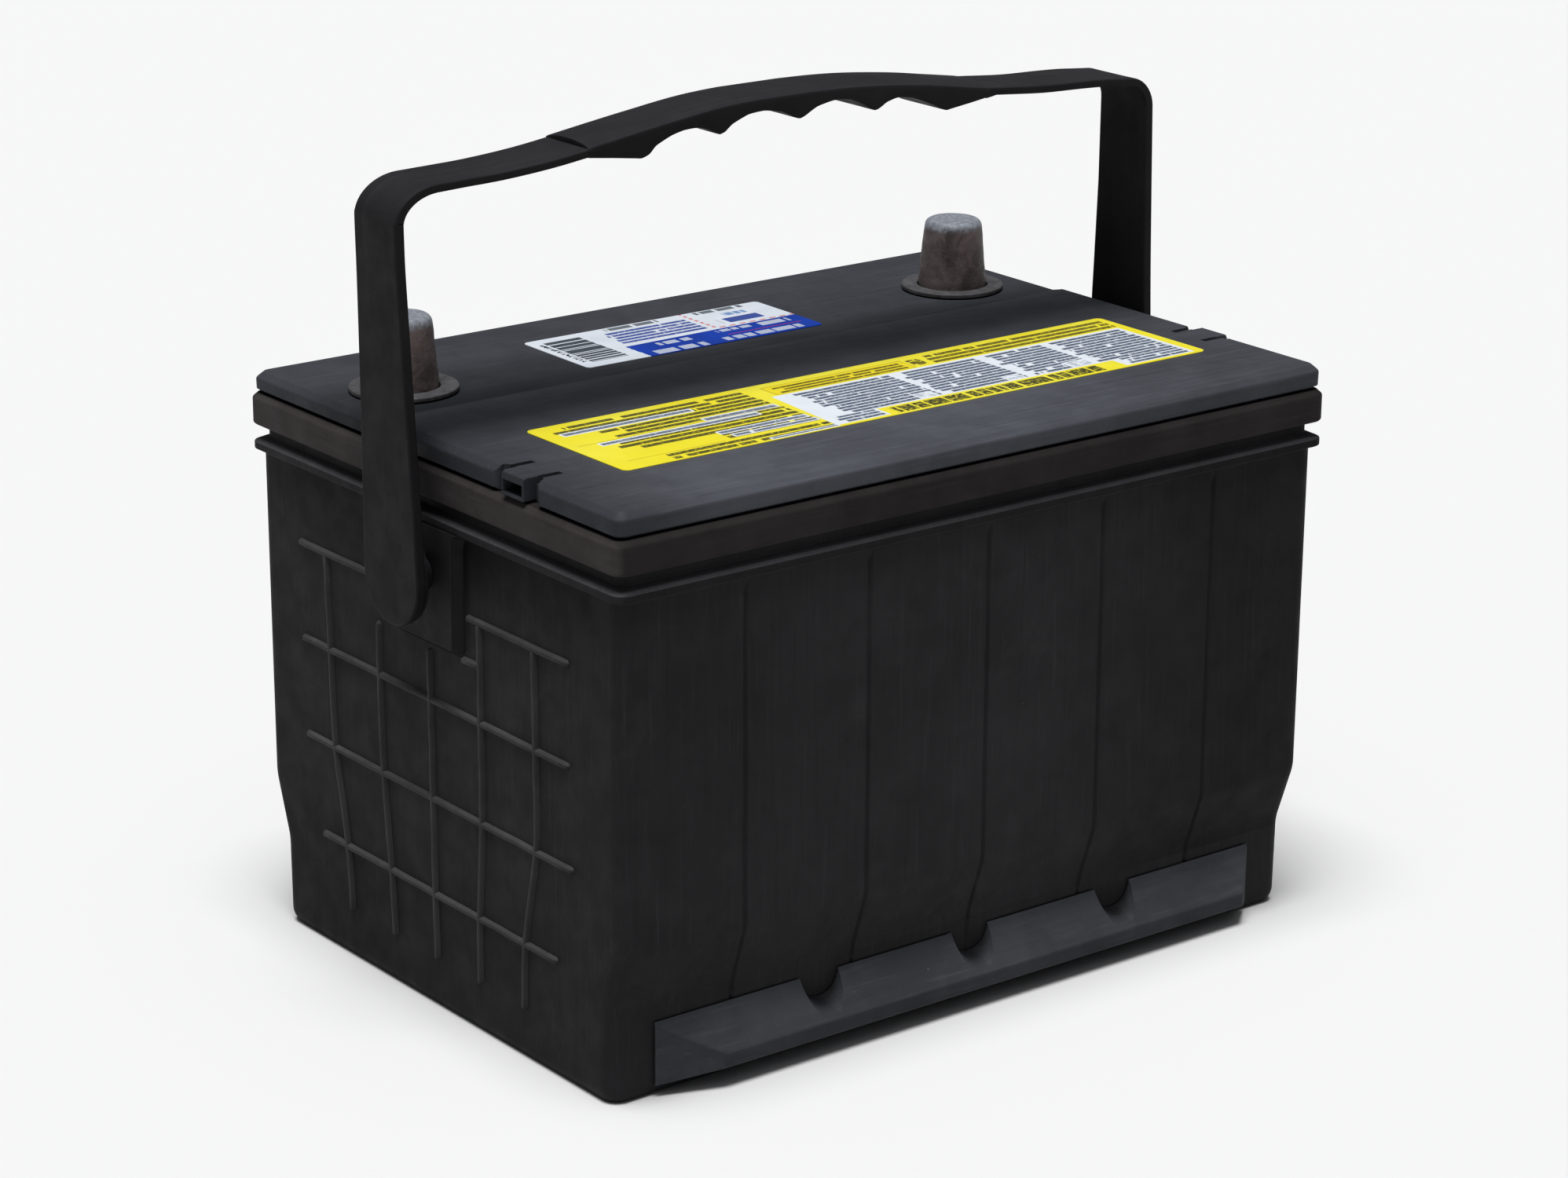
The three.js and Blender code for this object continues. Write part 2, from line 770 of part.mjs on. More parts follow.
const gripRing = (x) => {
  const t = lerpZ(GRIP_TOP, x),
    b = lerpZ(GRIP_UNDER, x);
  const d = Math.min(2.1, 0.55 * (t - b)); // depth of the crown
  return [
    [x, GRIP_HALF, t - d],
    [x, 8.6, t - 0.36 * d],
    [x, 4.5, t],
    [x, -4.5, t],
    [x, -8.6, t - 0.36 * d],
    [x, -GRIP_HALF, t - d],
    [x, -GRIP_HALF + 0.5, b],
    [x, GRIP_HALF - 0.5, b],
  ].reverse();
};
const grip = loft(GRIP_UNDER.map(([x]) => gripRing(x)).map((r) => r.reverse()));

// round ends with the inner pad and the pivot pin
const pinTip = 111.0;
const ends = [
  cylinderX(ARM_END_R, -130.9, -128.0, 0, PIVOT_Z, 32),
  cylinderX(PAD_TOP_R, -129.0, -126.7, 0, PIVOT_Z, 28),
  cylinderX(PIVOT_PIN_R, -127.5, -117.0, 0, PIVOT_Z, 20),
  cylinderX(ARM_END_R, 122.45, 125.35, 0, PIVOT_Z, 32),
  cylinderX(PAD_TOP_R, 121.15, 123.0, 0, PIVOT_Z, 28),
  cylinderX(PIVOT_PIN_R, pinTip, 122.0, 0, PIVOT_Z, 20),
];
add(
  "handle",
  join([leftStrap, grip, rightStrap, ...ends]),
  0x1f1f21,
  0.6,
);

// ---------------------------------------------------------------- labels
function label(name, cx, cy, hx, hy, r, z, deg, colour) {
  const a = (deg * Math.PI) / 180;
  const outline = roundRect(hx, hy, r, 4).map(([x, y]) => [
    cx + x * Math.cos(a) - y * Math.sin(a),
    cy + x * Math.sin(a) + y * Math.cos(a),
  ]);
  add(name, loft([ringAt(outline, z + 0.05), ringAt(outline, z + 0.3)]), colour, 0.4);
}
label("label_main", 3.05, -35.0, 99.65, 22.6, 3, COVER_Z1, 0, 0xe8dc3c);
label("label_small", -3.65, 48.7, 40.95, 16.3, 2.5, COVER_Z2, -0.4, 0xdfe3ea);

// ---------------------------------------------------------------- inside each cell
const PLATE_T = 2.2;
const PLATES_POS = 4;
const PLATES_NEG = 5;
const PLATE_GAP = 1.35; // between plates of opposite sign, where the separator runs
const PLATE_Z0 = 8;
const PLATE_Z1 = 108;
const PLATE_HY = 75.5;
const SEP_T = 0.7;
const STRAP_Z0 = 113.5;
const STRAP_Z1 = 119.5;
for (let i = 0; i < CELLS; i++) {
  const cx0 = i === 0 ? -INNER_HX : (i - 3) * CELL_PITCH + PARTITION_T / 2;
  const cx1 = i === CELLS - 1 ? INNER_HX : (i - 2) * CELL_PITCH - PARTITION_T / 2;
  const mid = (cx0 + cx1) / 2;
  const count = PLATES_POS + PLATES_NEG;
  const pitch = PLATE_T + PLATE_GAP;
  const first = mid - ((count - 1) * pitch) / 2;
  // the polarity sides swap from cell to cell, so that each link joins unlike straps
  const posSide = i % 2 ? 1 : -1;
  const group = (positive) => {
    const side = positive ? posSide : -posSide;
    const list = [];
    for (let k = positive ? 1 : 0; k < count; k += 2)
      list.push(first + k * pitch);
    const lugY = side * 52;
    const parts = [];
    for (const x of list) {
      parts.push(
        box(x - PLATE_T / 2, x + PLATE_T / 2, -PLATE_HY, PLATE_HY, PLATE_Z0, PLATE_Z1),
      );
      parts.push(
        box(x - PLATE_T / 2, x + PLATE_T / 2, lugY - 6, lugY + 6, PLATE_Z1 - 1, STRAP_Z0 + 1),
      );
    }
    parts.push(
      box(list[0] - PLATE_T / 2 - 1, list[list.length - 1] + PLATE_T / 2 + 1, lugY - 7, lugY + 7, STRAP_Z0, STRAP_Z1),
    );
    return join(parts);
  };
  add(`plates_pos_${i + 1}`, group(true), 0x4a322a, 0.9);
  add(`plates_neg_${i + 1}`, group(false), 0x70747a, 0.8);
  // separator folded from side to side round the plates
  const line = [];
  const reach = PLATE_HY + 0.9;
  for (let k = 0; k + 1 < count; k++) {
    const x = first + (k + 0.5) * pitch;
    const up = k % 2 === 0;
    line.push([x, up ? -reach : reach], [x, up ? reach : -reach]);
  }
  const outline = band(line, SEP_T);
  add(
    `separator_${i + 1}`,
    prism(outline, PLATE_Z0 - 2, PLATE_Z1 + 2, alongZ),
    0xb9bcc0,
    0.9,
  );
}

// intercell connectors: a stud through the partition between two feet
for (let i = 0; i < CELLS - 1; i++) {
  const x = (i - 2) * CELL_PITCH;
  const y = linkY(i);
  add(
    `link_${i + 1}`,
    join([
      cylinderX(LINK_R, x - 1.9, x + 1.9, y, LINK_Z + 0, 16),
      box(x - 9.0, x - 1.35, y - 6, y + 6, STRAP_Z1 + 0.3, LINK_Z + 6.5),
      box(x + 1.35, x + 9.0, y - 6, y + 6, STRAP_Z1 + 0.3, LINK_Z + 6.5),
    ]),
    0x7c7f84,
    0.6,
  );
}

// risers from the end straps up to the posts
function riser(name, x, ySign, rTop) {
  add(
    name,
    join([
      box(x - 6, x + 6, Math.min(ySign * 40, ySign * 60), Math.max(ySign * 40, ySign * 60), STRAP_Z1 + 0.3, STRAP_Z1 + 5),
      cylinderZ(rTop, STRAP_Z1 + 4, 147.6, x, POST_Y, 20),
    ]),
    0x7c7f84,
    0.6,
  );
}
riser("riser_pos", POST_POS_X, 1, 7.5);
riser("riser_neg", POST_NEG_X, 1, 7.0);

export default root;
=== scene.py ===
# Looks for the six-cell battery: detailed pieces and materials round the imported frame.
import math
import random

import bmesh
import bpy
from mathutils import Matrix, Vector


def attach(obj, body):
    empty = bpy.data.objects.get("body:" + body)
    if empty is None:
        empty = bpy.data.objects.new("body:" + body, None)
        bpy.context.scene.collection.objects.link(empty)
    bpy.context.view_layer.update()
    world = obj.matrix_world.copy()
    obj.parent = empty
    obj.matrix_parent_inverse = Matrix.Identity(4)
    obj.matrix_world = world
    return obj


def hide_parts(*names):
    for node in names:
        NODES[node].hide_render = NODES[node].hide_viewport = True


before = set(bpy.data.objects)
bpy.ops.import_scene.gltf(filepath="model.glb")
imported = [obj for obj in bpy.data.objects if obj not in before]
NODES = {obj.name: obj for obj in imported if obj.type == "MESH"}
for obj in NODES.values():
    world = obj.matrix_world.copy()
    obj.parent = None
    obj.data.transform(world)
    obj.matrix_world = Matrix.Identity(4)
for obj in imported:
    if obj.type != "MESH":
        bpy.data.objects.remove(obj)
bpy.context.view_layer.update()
MM = 0.001
rng = random.Random(7)

# ------------------------------------------------------------------ dimensions, mm
FLANGE_HX, FLANGE_HY, CORNER_R = 120.5, 88.1, 5.0
BASE_HX, WALL_HX, BASE_HY, FOOT_TOP_HY, WALL_HY = 118.15, 118.5, 80.1, 80.35, 86.3
KINK_LOW_Z, KINK_HIGH_Z = 25.4, 43.0
FLANGE_Z0, FLANGE_Z1, FLANGE_Z2, NECK_INSET, NECK_Z = 138.2, 140.5, 142.1, 3.3, 145.1
INNER_HX, INNER_HY, INNER_FOOT_HY, FLOOR_T = 115.8, 82.1, 77.4, 3.2
LID_Z0, LID_Z1, LID_PLATE_T = 145.4, 154.5, 4.2
COVER_HX, COVER_HY, COVER_Z0, COVER_Z1, COVER_Z2 = 119.63, 86.84, 154.8, 161.52, 160.47
STEP_Y, STEP_RUN, COVER_BEVEL = 20.2, 4.6, 2.0
VENT_Y, TAB_HALF, TAB_OUT_X, SLOT_W, SLOT_BACK_X, SLOT_GROOVE_X = -42.2, 4.95, 120.6, 3.8, 116.3, 109.6
PORT_HALF_Y, PORT_Z0, PORT_Z1 = 4.25, 155.95, 159.35
POST_Y, POST_POS_X, POST_NEG_X = 43.9, 94.6, -97.6
COLLAR_R, COLLAR_Z0, COLLAR_Z1, SLEEVE_R, SLEEVE_Z0 = 15.0, 160.77, 162.15, 12.6, 150.9
PIVOT_Z, BOSS_X, BOSS_Z0 = 125.0, 120.8, 105.8
RAIL_OUT_Y, RAIL_WALL_Y, RAIL_Z0, RAIL_FOOT_Z, RAIL_Z1, RAIL_Z2 = 88.1, 80.75, 5.8, 3.0, 9.8, 21.1
NOTCHES = [-51.5, 0.3, 52.0]


# ------------------------------------------------------------------ node helpers
class Tree:
    """Short names for building a material's nodes."""

    def __init__(self, name):
        self.mat = bpy.data.materials.new(name)
        self.mat.use_nodes = True
        self.t = self.mat.node_tree
        self.t.nodes.clear()
        self.out = self.t.nodes.new("ShaderNodeOutputMaterial")
        self.bsdf = self.t.nodes.new("ShaderNodeBsdfPrincipled")
        self.t.links.new(self.bsdf.outputs[0], self.out.inputs[0])
        self.co = self.t.nodes.new("ShaderNodeTexCoord").outputs["Object"]
        self._mm = None
        self._xyz = None

    def put(self, socket, value):
        if isinstance(value, bpy.types.NodeSocket):
            self.t.links.new(value, socket)
        else:
            socket.default_value = value

    def math(self, op, a, b=None, c=None, clamp=False):
        n = self.t.nodes.new("ShaderNodeMath")
        n.operation = op
        n.use_clamp = clamp
        for s, v in zip(n.inputs, (a, b, c)):
            if v is not None:
                self.put(s, v)
        return n.outputs[0]

    def add(self, a, b):
        return self.math("ADD", a, b)

    def sub(self, a, b):
        return self.math("SUBTRACT", a, b)

    def mul(self, *v):
        out = v[0]
        for x in v[1:]:
            out = self.math("MULTIPLY", out, x)
        return out

    def gt(self, a, b):
        return self.math("GREATER_THAN", a, b)

    def lt(self, a, b):
        return self.math("LESS_THAN", a, b)

    def most(self, *v):
        out = v[0]
        for x in v[1:]:
            out = self.math("MAXIMUM", out, x)
        return out

    def inv(self, a):
        return self.math("SUBTRACT", 1.0, a)

    def ramp(self, v, lo, hi, a=0.0, b=1.0, smooth=True):
        n = self.t.nodes.new("ShaderNodeMapRange")
        n.interpolation_type = "SMOOTHSTEP" if smooth else "LINEAR"
        for key, val in zip(("Value", "From Min", "From Max", "To Min", "To Max"), (v, lo, hi, a, b)):
            self.put(n.inputs[key], val)
        return n.outputs[0]

    @property
    def mm(self):
        """Object position in millimetres."""
        if self._mm is None:
            n = self.t.nodes.new("ShaderNodeVectorMath")
            n.operation = "SCALE"
            self.put(n.inputs[0], self.co)
            n.inputs["Scale"].default_value = 1000.0
            self._mm = n.outputs[0]
        return self._mm

    @property
    def xyz(self):
        if self._xyz is None:
            n = self.t.nodes.new("ShaderNodeSeparateXYZ")
            self.put(n.inputs[0], self.mm)
            self._xyz = n.outputs[:3]
        return self._xyz

    def vec(self, x, y, z=0.0):
        n = self.t.nodes.new("ShaderNodeCombineXYZ")
        for s, v in zip(n.inputs, (x, y, z)):
            self.put(s, v)
        return n.outputs[0]

    def stretch(self, x, y, z):
        n = self.t.nodes.new("ShaderNodeVectorMath")
        n.operation = "MULTIPLY"
        self.put(n.inputs[0], self.mm)
        n.inputs[1].default_value = (x, y, z)
        return n.outputs[0]

    def noise(self, scale, detail=2.0, rough=0.5, at=None, distort=0.0):
        """Noise of the given features per millimetre."""
        n = self.t.nodes.new("ShaderNodeTexNoise")
        self.put(n.inputs["Vector"], self.mm if at is None else at)
        n.inputs["Scale"].default_value = scale
        n.inputs["Detail"].default_value = detail
        n.inputs["Roughness"].default_value = rough
        n.inputs["Distortion"].default_value = distort
        return n.outputs[0]

    def cells(self, scale, at=None, rand=1.0):
        n = self.t.nodes.new("ShaderNodeTexVoronoi")
        self.put(n.inputs["Vector"], self.mm if at is None else at)
        n.inputs["Scale"].default_value = scale
        n.inputs["Randomness"].default_value = rand
        return n.outputs["Distance"]

    def mix(self, f, a, b):
        n = self.t.nodes.new("ShaderNodeMix")
        n.data_type = "RGBA"
        self.put(n.inputs[0], f)
        for s, v in ((n.inputs[6], a), (n.inputs[7], b)):
            if isinstance(v, bpy.types.NodeSocket):
                self.put(s, v)
            else:
                s.default_value = (*v, 1.0)
        return n.outputs[2]

    def scale_colour(self, colour, value):
        """A colour multiplied by a number."""
        n = self.t.nodes.new("ShaderNodeVectorMath")
        n.operation = "SCALE"
        self.put(n.inputs[0], colour if isinstance(colour, bpy.types.NodeSocket) else tuple(colour))
        self.put(n.inputs["Scale"], value)
        return n.outputs[0]

    def bump(self, height, strength, distance, normal=None):
        n = self.t.nodes.new("ShaderNodeBump")
        n.inputs["Strength"].default_value = strength
        n.inputs["Distance"].default_value = distance * MM
        self.put(n.inputs["Height"], height)
        if normal is not None:
            self.put(n.inputs["Normal"], normal)
        return n.outputs[0]

    def soft_edges(self, radius):
        n = self.t.nodes.new("ShaderNodeBevel")
        n.samples = 4
        n.inputs["Radius"].default_value = radius * MM
        return n.outputs[0]

    def edge_mask(self, radius, lo=0.02, hi=0.22):
        """1 along convex and concave edges, 0 on flats."""
        g = self.t.nodes.new("ShaderNodeNewGeometry")
        d = self.t.nodes.new("ShaderNodeVectorMath")
        d.operation = "DOT_PRODUCT"
        self.put(d.inputs[0], self.soft_edges(radius))
        self.put(d.inputs[1], g.outputs["Normal"])
        return self.ramp(self.inv(d.outputs["Value"]), lo, hi)

    def facing(self, axis):
        """The surface normal's own part along an axis of the part."""
        g = self.t.nodes.new("ShaderNodeTexCoord")
        s = self.t.nodes.new("ShaderNodeSeparateXYZ")
        self.put(s.inputs[0], g.outputs["Normal"])
        return s.outputs["XYZ".index(axis)]

    def finish(self, colour, rough, normal=None, metallic=0.0, spec=0.5, coat=0.0):
        b = self.bsdf
        self.put(b.inputs["Base Color"], colour)
        self.put(b.inputs["Roughness"], rough)
        b.inputs["Metallic"].default_value = metallic
        b.inputs["Specular IOR Level"].default_value = spec
        b.inputs["Coat Weight"].default_value = coat
        if normal is not None:
            self.put(b.inputs["Normal"], normal)
        return self.mat


def lin(r, g, b):
    """sRGB bytes to linear."""
    return tuple(((c / 255) / 12.92 if c / 255 <= 0.04045 else ((c / 255 + 0.055) / 1.055) ** 2.4) for c in (r, g, b))


def plastic(name, dark, light, rough=0.55, spec=0.2, grain=0.35, dust=1.0, streak=None, soft=0.35, wear=0.5, dust_tint=(0.10, 0.10, 0.098), mottling=1.0, shade=None):
    """Moulded polypropylene: tone in large clouds, a fine grain, dust specks, faint scuffs and rubbed edges."""
    m = Tree(name)
    clouds = m.noise(0.022, 4, 0.6)
    smudge = m.noise(0.09, 5, 0.65, distort=0.6)
    tone = m.ramp(m.add(m.mul(clouds, 0.6), m.mul(smudge, 0.4)), 0.36, 0.64)
    tone = m.ramp(tone, 0.5 - 0.5 / max(mottling, 1e-3), 0.5 + 0.5 / max(mottling, 1e-3), smooth=False)
    colour = m.mix(tone, dark, light)
    fine = m.noise(2.2, 3, 0.7)
    colour = m.mix(m.ramp(fine, 0.35, 0.75, 0.0, 0.35), colour, light)
    if streak is not None:
        s = m.noise(1.0, 4, 0.65, at=m.stretch(*streak))
        colour = m.mix(m.ramp(s, 0.52, 0.78, 0.0, 0.5), colour, tuple(c * 1.5 for c in light))
        colour = m.mix(m.ramp(s, 0.46, 0.22, 0.0, 0.5), colour, tuple(c * 0.7 for c in dark))
    # dust: few single specks and thin film in patches
    specks = m.mul(m.lt(m.cells(0.42), m.mul(m.ramp(m.noise(0.5, 1), 0.55, 0.8), 0.16)), m.ramp(m.noise(0.05, 3), 0.45, 0.7))
    film = m.ramp(m.noise(0.035, 6, 0.7, distort=1.2), 0.55, 0.8, 0.0, 0.12 * dust)
    colour = m.mix(m.math("MINIMUM", m.add(m.mul(specks, 0.55 * dust), film), 1.0), colour, dust_tint)
    rub = m.mul(m.edge_mask(soft * 1.6), m.ramp(m.noise(0.25, 4, 0.7), 0.35, 0.7), wear)
    colour = m.mix(rub, colour, tuple(c * 2.6 for c in light))
    if shade is not None:
        colour = shade(m, colour)
    r = m.add(m.ramp(m.noise(0.12, 4, 0.6), 0.3, 0.7, rough - 0.07, rough + 0.09), m.mul(fine, 0.05))
    n = m.bump(m.noise(1.1, 4, 0.62), 0.25 * grain, 0.35, m.soft_edges(soft))
    n = m.bump(m.noise(0.03, 2, 0.5), 0.12, 0.8, n)
    return m.finish(colour, r, n, spec=spec)


# ------------------------------------------------------------------ mesh helpers
def make(name, verts, faces, material, body="battery", slot=None, stands_for=(), angle=32, weighted=True):
    me = bpy.data.meshes.new(name)
    me.from_pydata([(x * MM, y * MM, z * MM) for x, y, z in verts], [], faces)
    bm = bmesh.new()
    bm.from_mesh(me)
    bmesh.ops.remove_doubles(bm, verts=bm.verts, dist=2e-6)
    bmesh.ops.dissolve_degenerate(bm, edges=bm.edges, dist=1e-6)
    bmesh.ops.recalc_face_normals(bm, faces=bm.faces)
    bm.to_mesh(me)
    bm.free()
    me.update()
    ob = bpy.data.objects.new(name, me)
    bpy.context.scene.collection.objects.link(ob)
    if material is not None:
        me.materials.append(material)
        settle(ob, body, slot, stands_for, angle, weighted)
    return ob


def settle(ob, body, slot, stands_for=(), angle=32, weighted=True):
    me = ob.data
    for p in me.polygons:
        p.use_smooth = True
    me.set_sharp_from_angle(angle=math.radians(angle))
    if weighted:
        w = ob.modifiers.new("even normals", "WEIGHTED_NORMAL")
        w.keep_sharp = True
        w.weight = 80
    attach(ob, body)
    if stands_for:
        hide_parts(*stands_for)


def bake_modifiers(ob):
    dg = bpy.context.evaluated_depsgraph_get()
    me = bpy.data.meshes.new_from_object(ob.evaluated_get(dg))
    old = ob.data
    ob.modifiers.clear()
    ob.data = me
    bpy.data.meshes.remove(old)


def boolean(ob, others, op="DIFFERENCE"):
    for o in others:
        md = ob.modifiers.new("b", "BOOLEAN")
        md.operation = op
        md.solver = "EXACT"
        md.object = o
        bake_modifiers(ob)
        bpy.data.objects.remove(o)


def bevel(ob, width, segments=2, angle=35):
    md = ob.modifiers.new("v", "BEVEL")
    md.width = width * MM
    md.segments = segments
    md.limit_method = "ANGLE"
    md.angle_limit = math.radians(angle)
    md.use_clamp_overlap = True
    bake_modifiers(ob)


def loft(rings, closed_ends=True):
    n = len(rings[0])
    verts = [p for r in rings for p in r]
    faces = []
    for k in range(len(rings) - 1):
        for i in range(n):
            a, b = k * n + i, k * n + (i + 1) % n
            faces.append((a, b, b + n, a + n))
    if closed_ends:
        faces.append(tuple(range(n))[::-1])
        faces.append(tuple(range((len(rings) - 1) * n, len(rings) * n)))
    return verts, faces


def eased(points, seg=4, hold=0.25):
    """A chain of points with its marked corners rounded. The last entry of each is how far the round reaches."""
    out = [tuple(points[0][:-1])]
    for i in range(1, len(points) - 1):
        p, cut = points[i][:-1], points[i][-1]
        a, b = points[i - 1][:-1], points[i + 1][:-1]
        if cut <= 0:
            out.append(tuple(p))
            continue

        def toward(q, reach):
            d = math.dist(p[:3], q[:3])
            t = min(reach, 0.46 * d) / d
            return tuple(u + (v - u) * t for u, v in zip(p, q))

        if hold:
            out.append(toward(a, cut + hold))
        s, e = toward(a, cut), toward(b, cut)
        for k in range(seg + 1):
            t = k / seg
            out.append(tuple((1 - t) ** 2 * u + 2 * t * (1 - t) * v + t * t * w for u, v, w in zip(s, p, e)))
        if hold:
            out.append(toward(b, cut + hold))
    out.append(tuple(points[-1][:-1]))
    return out


def outline(hx, hy, r, seg=8, marks=(), depth=0.0, hold=0.3, half=0.45):
    """Rounded rectangle, counter-clockwise from the +X side, with shallow notches on the long sides."""
    pts = []

    def corner(cx, cy, a0):
        for i in range(seg + 1):
            a = math.radians(a0 + 90 * i / seg)
            pts.append((cx + r * math.cos(a), cy + r * math.sin(a)))

    pts.append((hx, hy - r - hold))
    corner(hx - r, hy - r, 0)
    pts.append((hx - r - hold, hy))
    for g in sorted(marks, reverse=True):
        pts += [(g + half, hy), (g + half * 0.3, hy - depth), (g - half * 0.3, hy - depth), (g - half, hy)]
    pts.append((-hx + r + hold, hy))
    corner(-hx + r, hy - r, 90)
    pts += [(-hx, hy - r - hold), (-hx, -hy + r + hold)]
    corner(-hx + r, -hy + r, 180)
    pts.append((-hx + r + hold, -hy))
    for g in sorted(marks):
        pts += [(g - half, -hy), (g - half * 0.3, -hy + depth), (g + half * 0.3, -hy + depth), (g + half, -hy)]
    pts.append((hx - r - hold, -hy))
    corner(hx - r, -hy + r, 270)
    pts.append((hx, -hy + r + hold))
    return pts


def slab(levels, marks=(), depth_at=None, seg=8, half=0.45):
    """Rings of rounded rectangles. Each level is (z, hx, hy, r)."""
    rings = []
    for z, hx, hy, r in levels:
        d = depth_at(z) if depth_at else 0.0
        rings.append([(x, y, z) for x, y in outline(hx, hy, r, seg, marks, d, half=half)])
    return loft(rings)


def block(x0, x1, y0, y1, z0, z1, name="cutter"):
    v = [(x, y, z) for z in (z0, z1) for x, y in ((x0, y0), (x1, y0), (x1, y1), (x0, y1))]
    f = [(3, 2, 1, 0), (4, 5, 6, 7)] + [(i, (i + 1) % 4, 4 + (i + 1) % 4, 4 + i) for i in range(4)]
    return make(name, v, f, None)


def rod(axis, r, w0, w1, u, v, n=40, name="cutter"):
    """A round cutter along an axis through (u, v) of the other two."""
    rings = []
    for w in (w0, w1):
        ring = []
        for i in range(n):
            a = 2 * math.pi * i / n
            c, s = u + r * math.cos(a), v + r * math.sin(a)
            ring.append({"x": (w, c, s), "y": (c, w, s), "z": (c, s, w)}[axis])
        rings.append(ring)
    return make(name, *loft(rings), None)


def cut_prism(outline2, w0, w1, put, name="cutter"):
    rings = [[put(u, v, w) for u, v in outline2] for w in (w0, w1)]
    return make(name, *loft(rings), None)


def turned(name, profile, cx, cy, material, n=72, wobble=None, **kw):
    """A closed turned shape. The profile starts and ends on the axis, or closes on itself."""
    verts, faces = [], []
    ring_of = []
    for r, z in profile:
        if r < 1e-6:
            ring_of.append([len(verts)])
            verts.append((cx, cy, z))
        else:
            ids = []
            for i in range(n):
                a = 2 * math.pi * i / n
                rr = r + (wobble(a, z) if wobble else 0.0)
                ids.append(len(verts))
                verts.append((cx + rr * math.cos(a), cy + rr * math.sin(a), z))
            ring_of.append(ids)
    for a, b in zip(ring_of, ring_of[1:]):
        for i in range(n):
            j = (i + 1) % n
            if len(a) == 1 and len(b) == 1:
                continue
            if len(a) == 1:
                faces.append((a[0], b[j], b[i]))
            elif len(b) == 1:
                faces.append((a[i], a[j], b[0]))
            else:
                faces.append((a[i], a[j], b[j], b[i]))
    return make(name, verts, faces, material, **kw)


# ------------------------------------------------------------------ materials
def cover_light_and_shade(m, colour):
    """Painted light and shade: the cover's top is palest along its front strip and a little lighter at the back, darker
    round the near end, with a painted shadow behind the ramp between its two levels, and its sides are painted darker
    than its top.
    """
    x, y, z = m.xyz
    # painted shade: faces that turn away from the top are darker
    up = m.ramp(m.facing("Z"), 0.25, 0.8, 0.82, 1.0)
    # painted light along the front strip and at the back, painted shade round the near end
    front = m.mul(m.ramp(y, 8.0, -62.0), m.ramp(x, -124.0, -80.0), m.ramp(x, 20.0, 104.0, 1.0, 0.4))
    left = m.mul(m.ramp(x, 0.0, -80.0), m.ramp(y, 17.0, 22.0), m.ramp(y, 66.0, 40.0))
    back = m.ramp(y, 45.0, 70.0)
    # painted shadow behind the ramp between the two levels
    step_shadow = m.mul(m.ramp(y, 19.9, 20.6), m.ramp(y, 44.0, 24.0))
    f = m.add(m.sub(m.add(1.0, m.mul(front, 0.85)), m.mul(left, 0.36)), m.mul(back, 0.14))
    return m.scale_colour(colour, m.mul(f, up, m.sub(1.0, m.mul(step_shadow, 0.34))))


def lid_end_light(m, colour):
    """Painted light: the band's short ends are greyer and lighter than its long sides."""
    end = m.ramp(m.math("ABSOLUTE", m.facing("X")), 0.35, 0.85)
    return m.scale_colour(colour, m.add(1.0, m.mul(end, 1.0)))


def case_light_and_shade(m, colour):
    """Painted shade keeps the wall darker close beneath the flange, on the flange's front band, round the lugs with a
    painted shadow line beneath each, low on the end faces and toward the far end of each long side; painted light makes
    the flange's upward bevel and the centre of the long sides lighter.
    """
    x, y, z = m.xyz
    ax, ay = m.math("ABSOLUTE", x), m.math("ABSOLUTE", y)
    wob = m.mul(m.sub(m.noise(0.08, 3), 0.5), 5.0)
    # painted shade beneath the flange
    under_shade = m.mul(m.ramp(m.add(z, wob), 112.0, 136.0), m.lt(z, 138.2), m.ramp(ay, 86.0, 66.0), m.gt(ax, 117.0))
    # painted shadow line beneath each lug, and painted shade along its sides
    line = m.mul(m.gt(ax, 118.0), m.lt(ay, 16.6), m.ramp(z, 103.9, 104.6), m.lt(z, 105.95))
    side = m.mul(m.gt(ax, 118.0), m.ramp(ay, 15.8, 16.0), m.ramp(ay, 19.5, 16.4), m.ramp(z, 104.6, 106.4), m.lt(z, 138.0))
    # painted shade on the flange's front band
    band = m.mul(m.gt(z, 137.5), m.lt(z, 141.0), m.ramp(ay, 87.0, 87.6))
    # painted light on the flange's upward bevel
    bevel_light = m.mul(m.gt(z, 139.9), m.lt(z, 142.6), m.ramp(m.facing("Z"), 0.2, 0.6))
    side_face = m.ramp(m.math("ABSOLUTE", m.facing("Y")), 0.5, 0.8)
    # painted shade toward the far end of each long side, painted light toward their centre, painted shade low on the
    # end faces
    far = m.mul(m.ramp(m.mul(x, m.math("SIGN", m.mul(y, -1.0))), 18.0, 96.0), side_face, m.gt(z, 24.0))
    mid_side_light = m.mul(m.ramp(ax, 90.0, 10.0), side_face, m.gt(z, 24.0), m.lt(z, 137.0))
    low = m.mul(m.ramp(z, 62.0, 20.0), m.gt(ax, 117.0), m.ramp(m.mul(y, m.math("SIGN", m.mul(x, -1.0))), -70.0, 10.0))
    f = m.mul(m.sub(1.0, m.mul(under_shade, 0.48)), m.sub(1.0, m.mul(far, 0.30)), m.add(1.0, m.mul(mid_side_light, 0.16)), m.sub(1.0, m.mul(low, 0.30)), m.sub(1.0, m.mul(line, 0.85)), m.sub(1.0, m.mul(side, 0.45)), m.sub(1.0, m.mul(band, 0.35)), m.add(1.0, m.mul(bevel_light, 1.7)))
    return m.scale_colour(colour, f)


def handle_upright_shade(m, colour):
    """Painted shade: upright faces are blacker than the top."""
    return m.scale_colour(colour, m.ramp(m.facing("Z"), -0.15, 1.0, 0.56, 0.97))


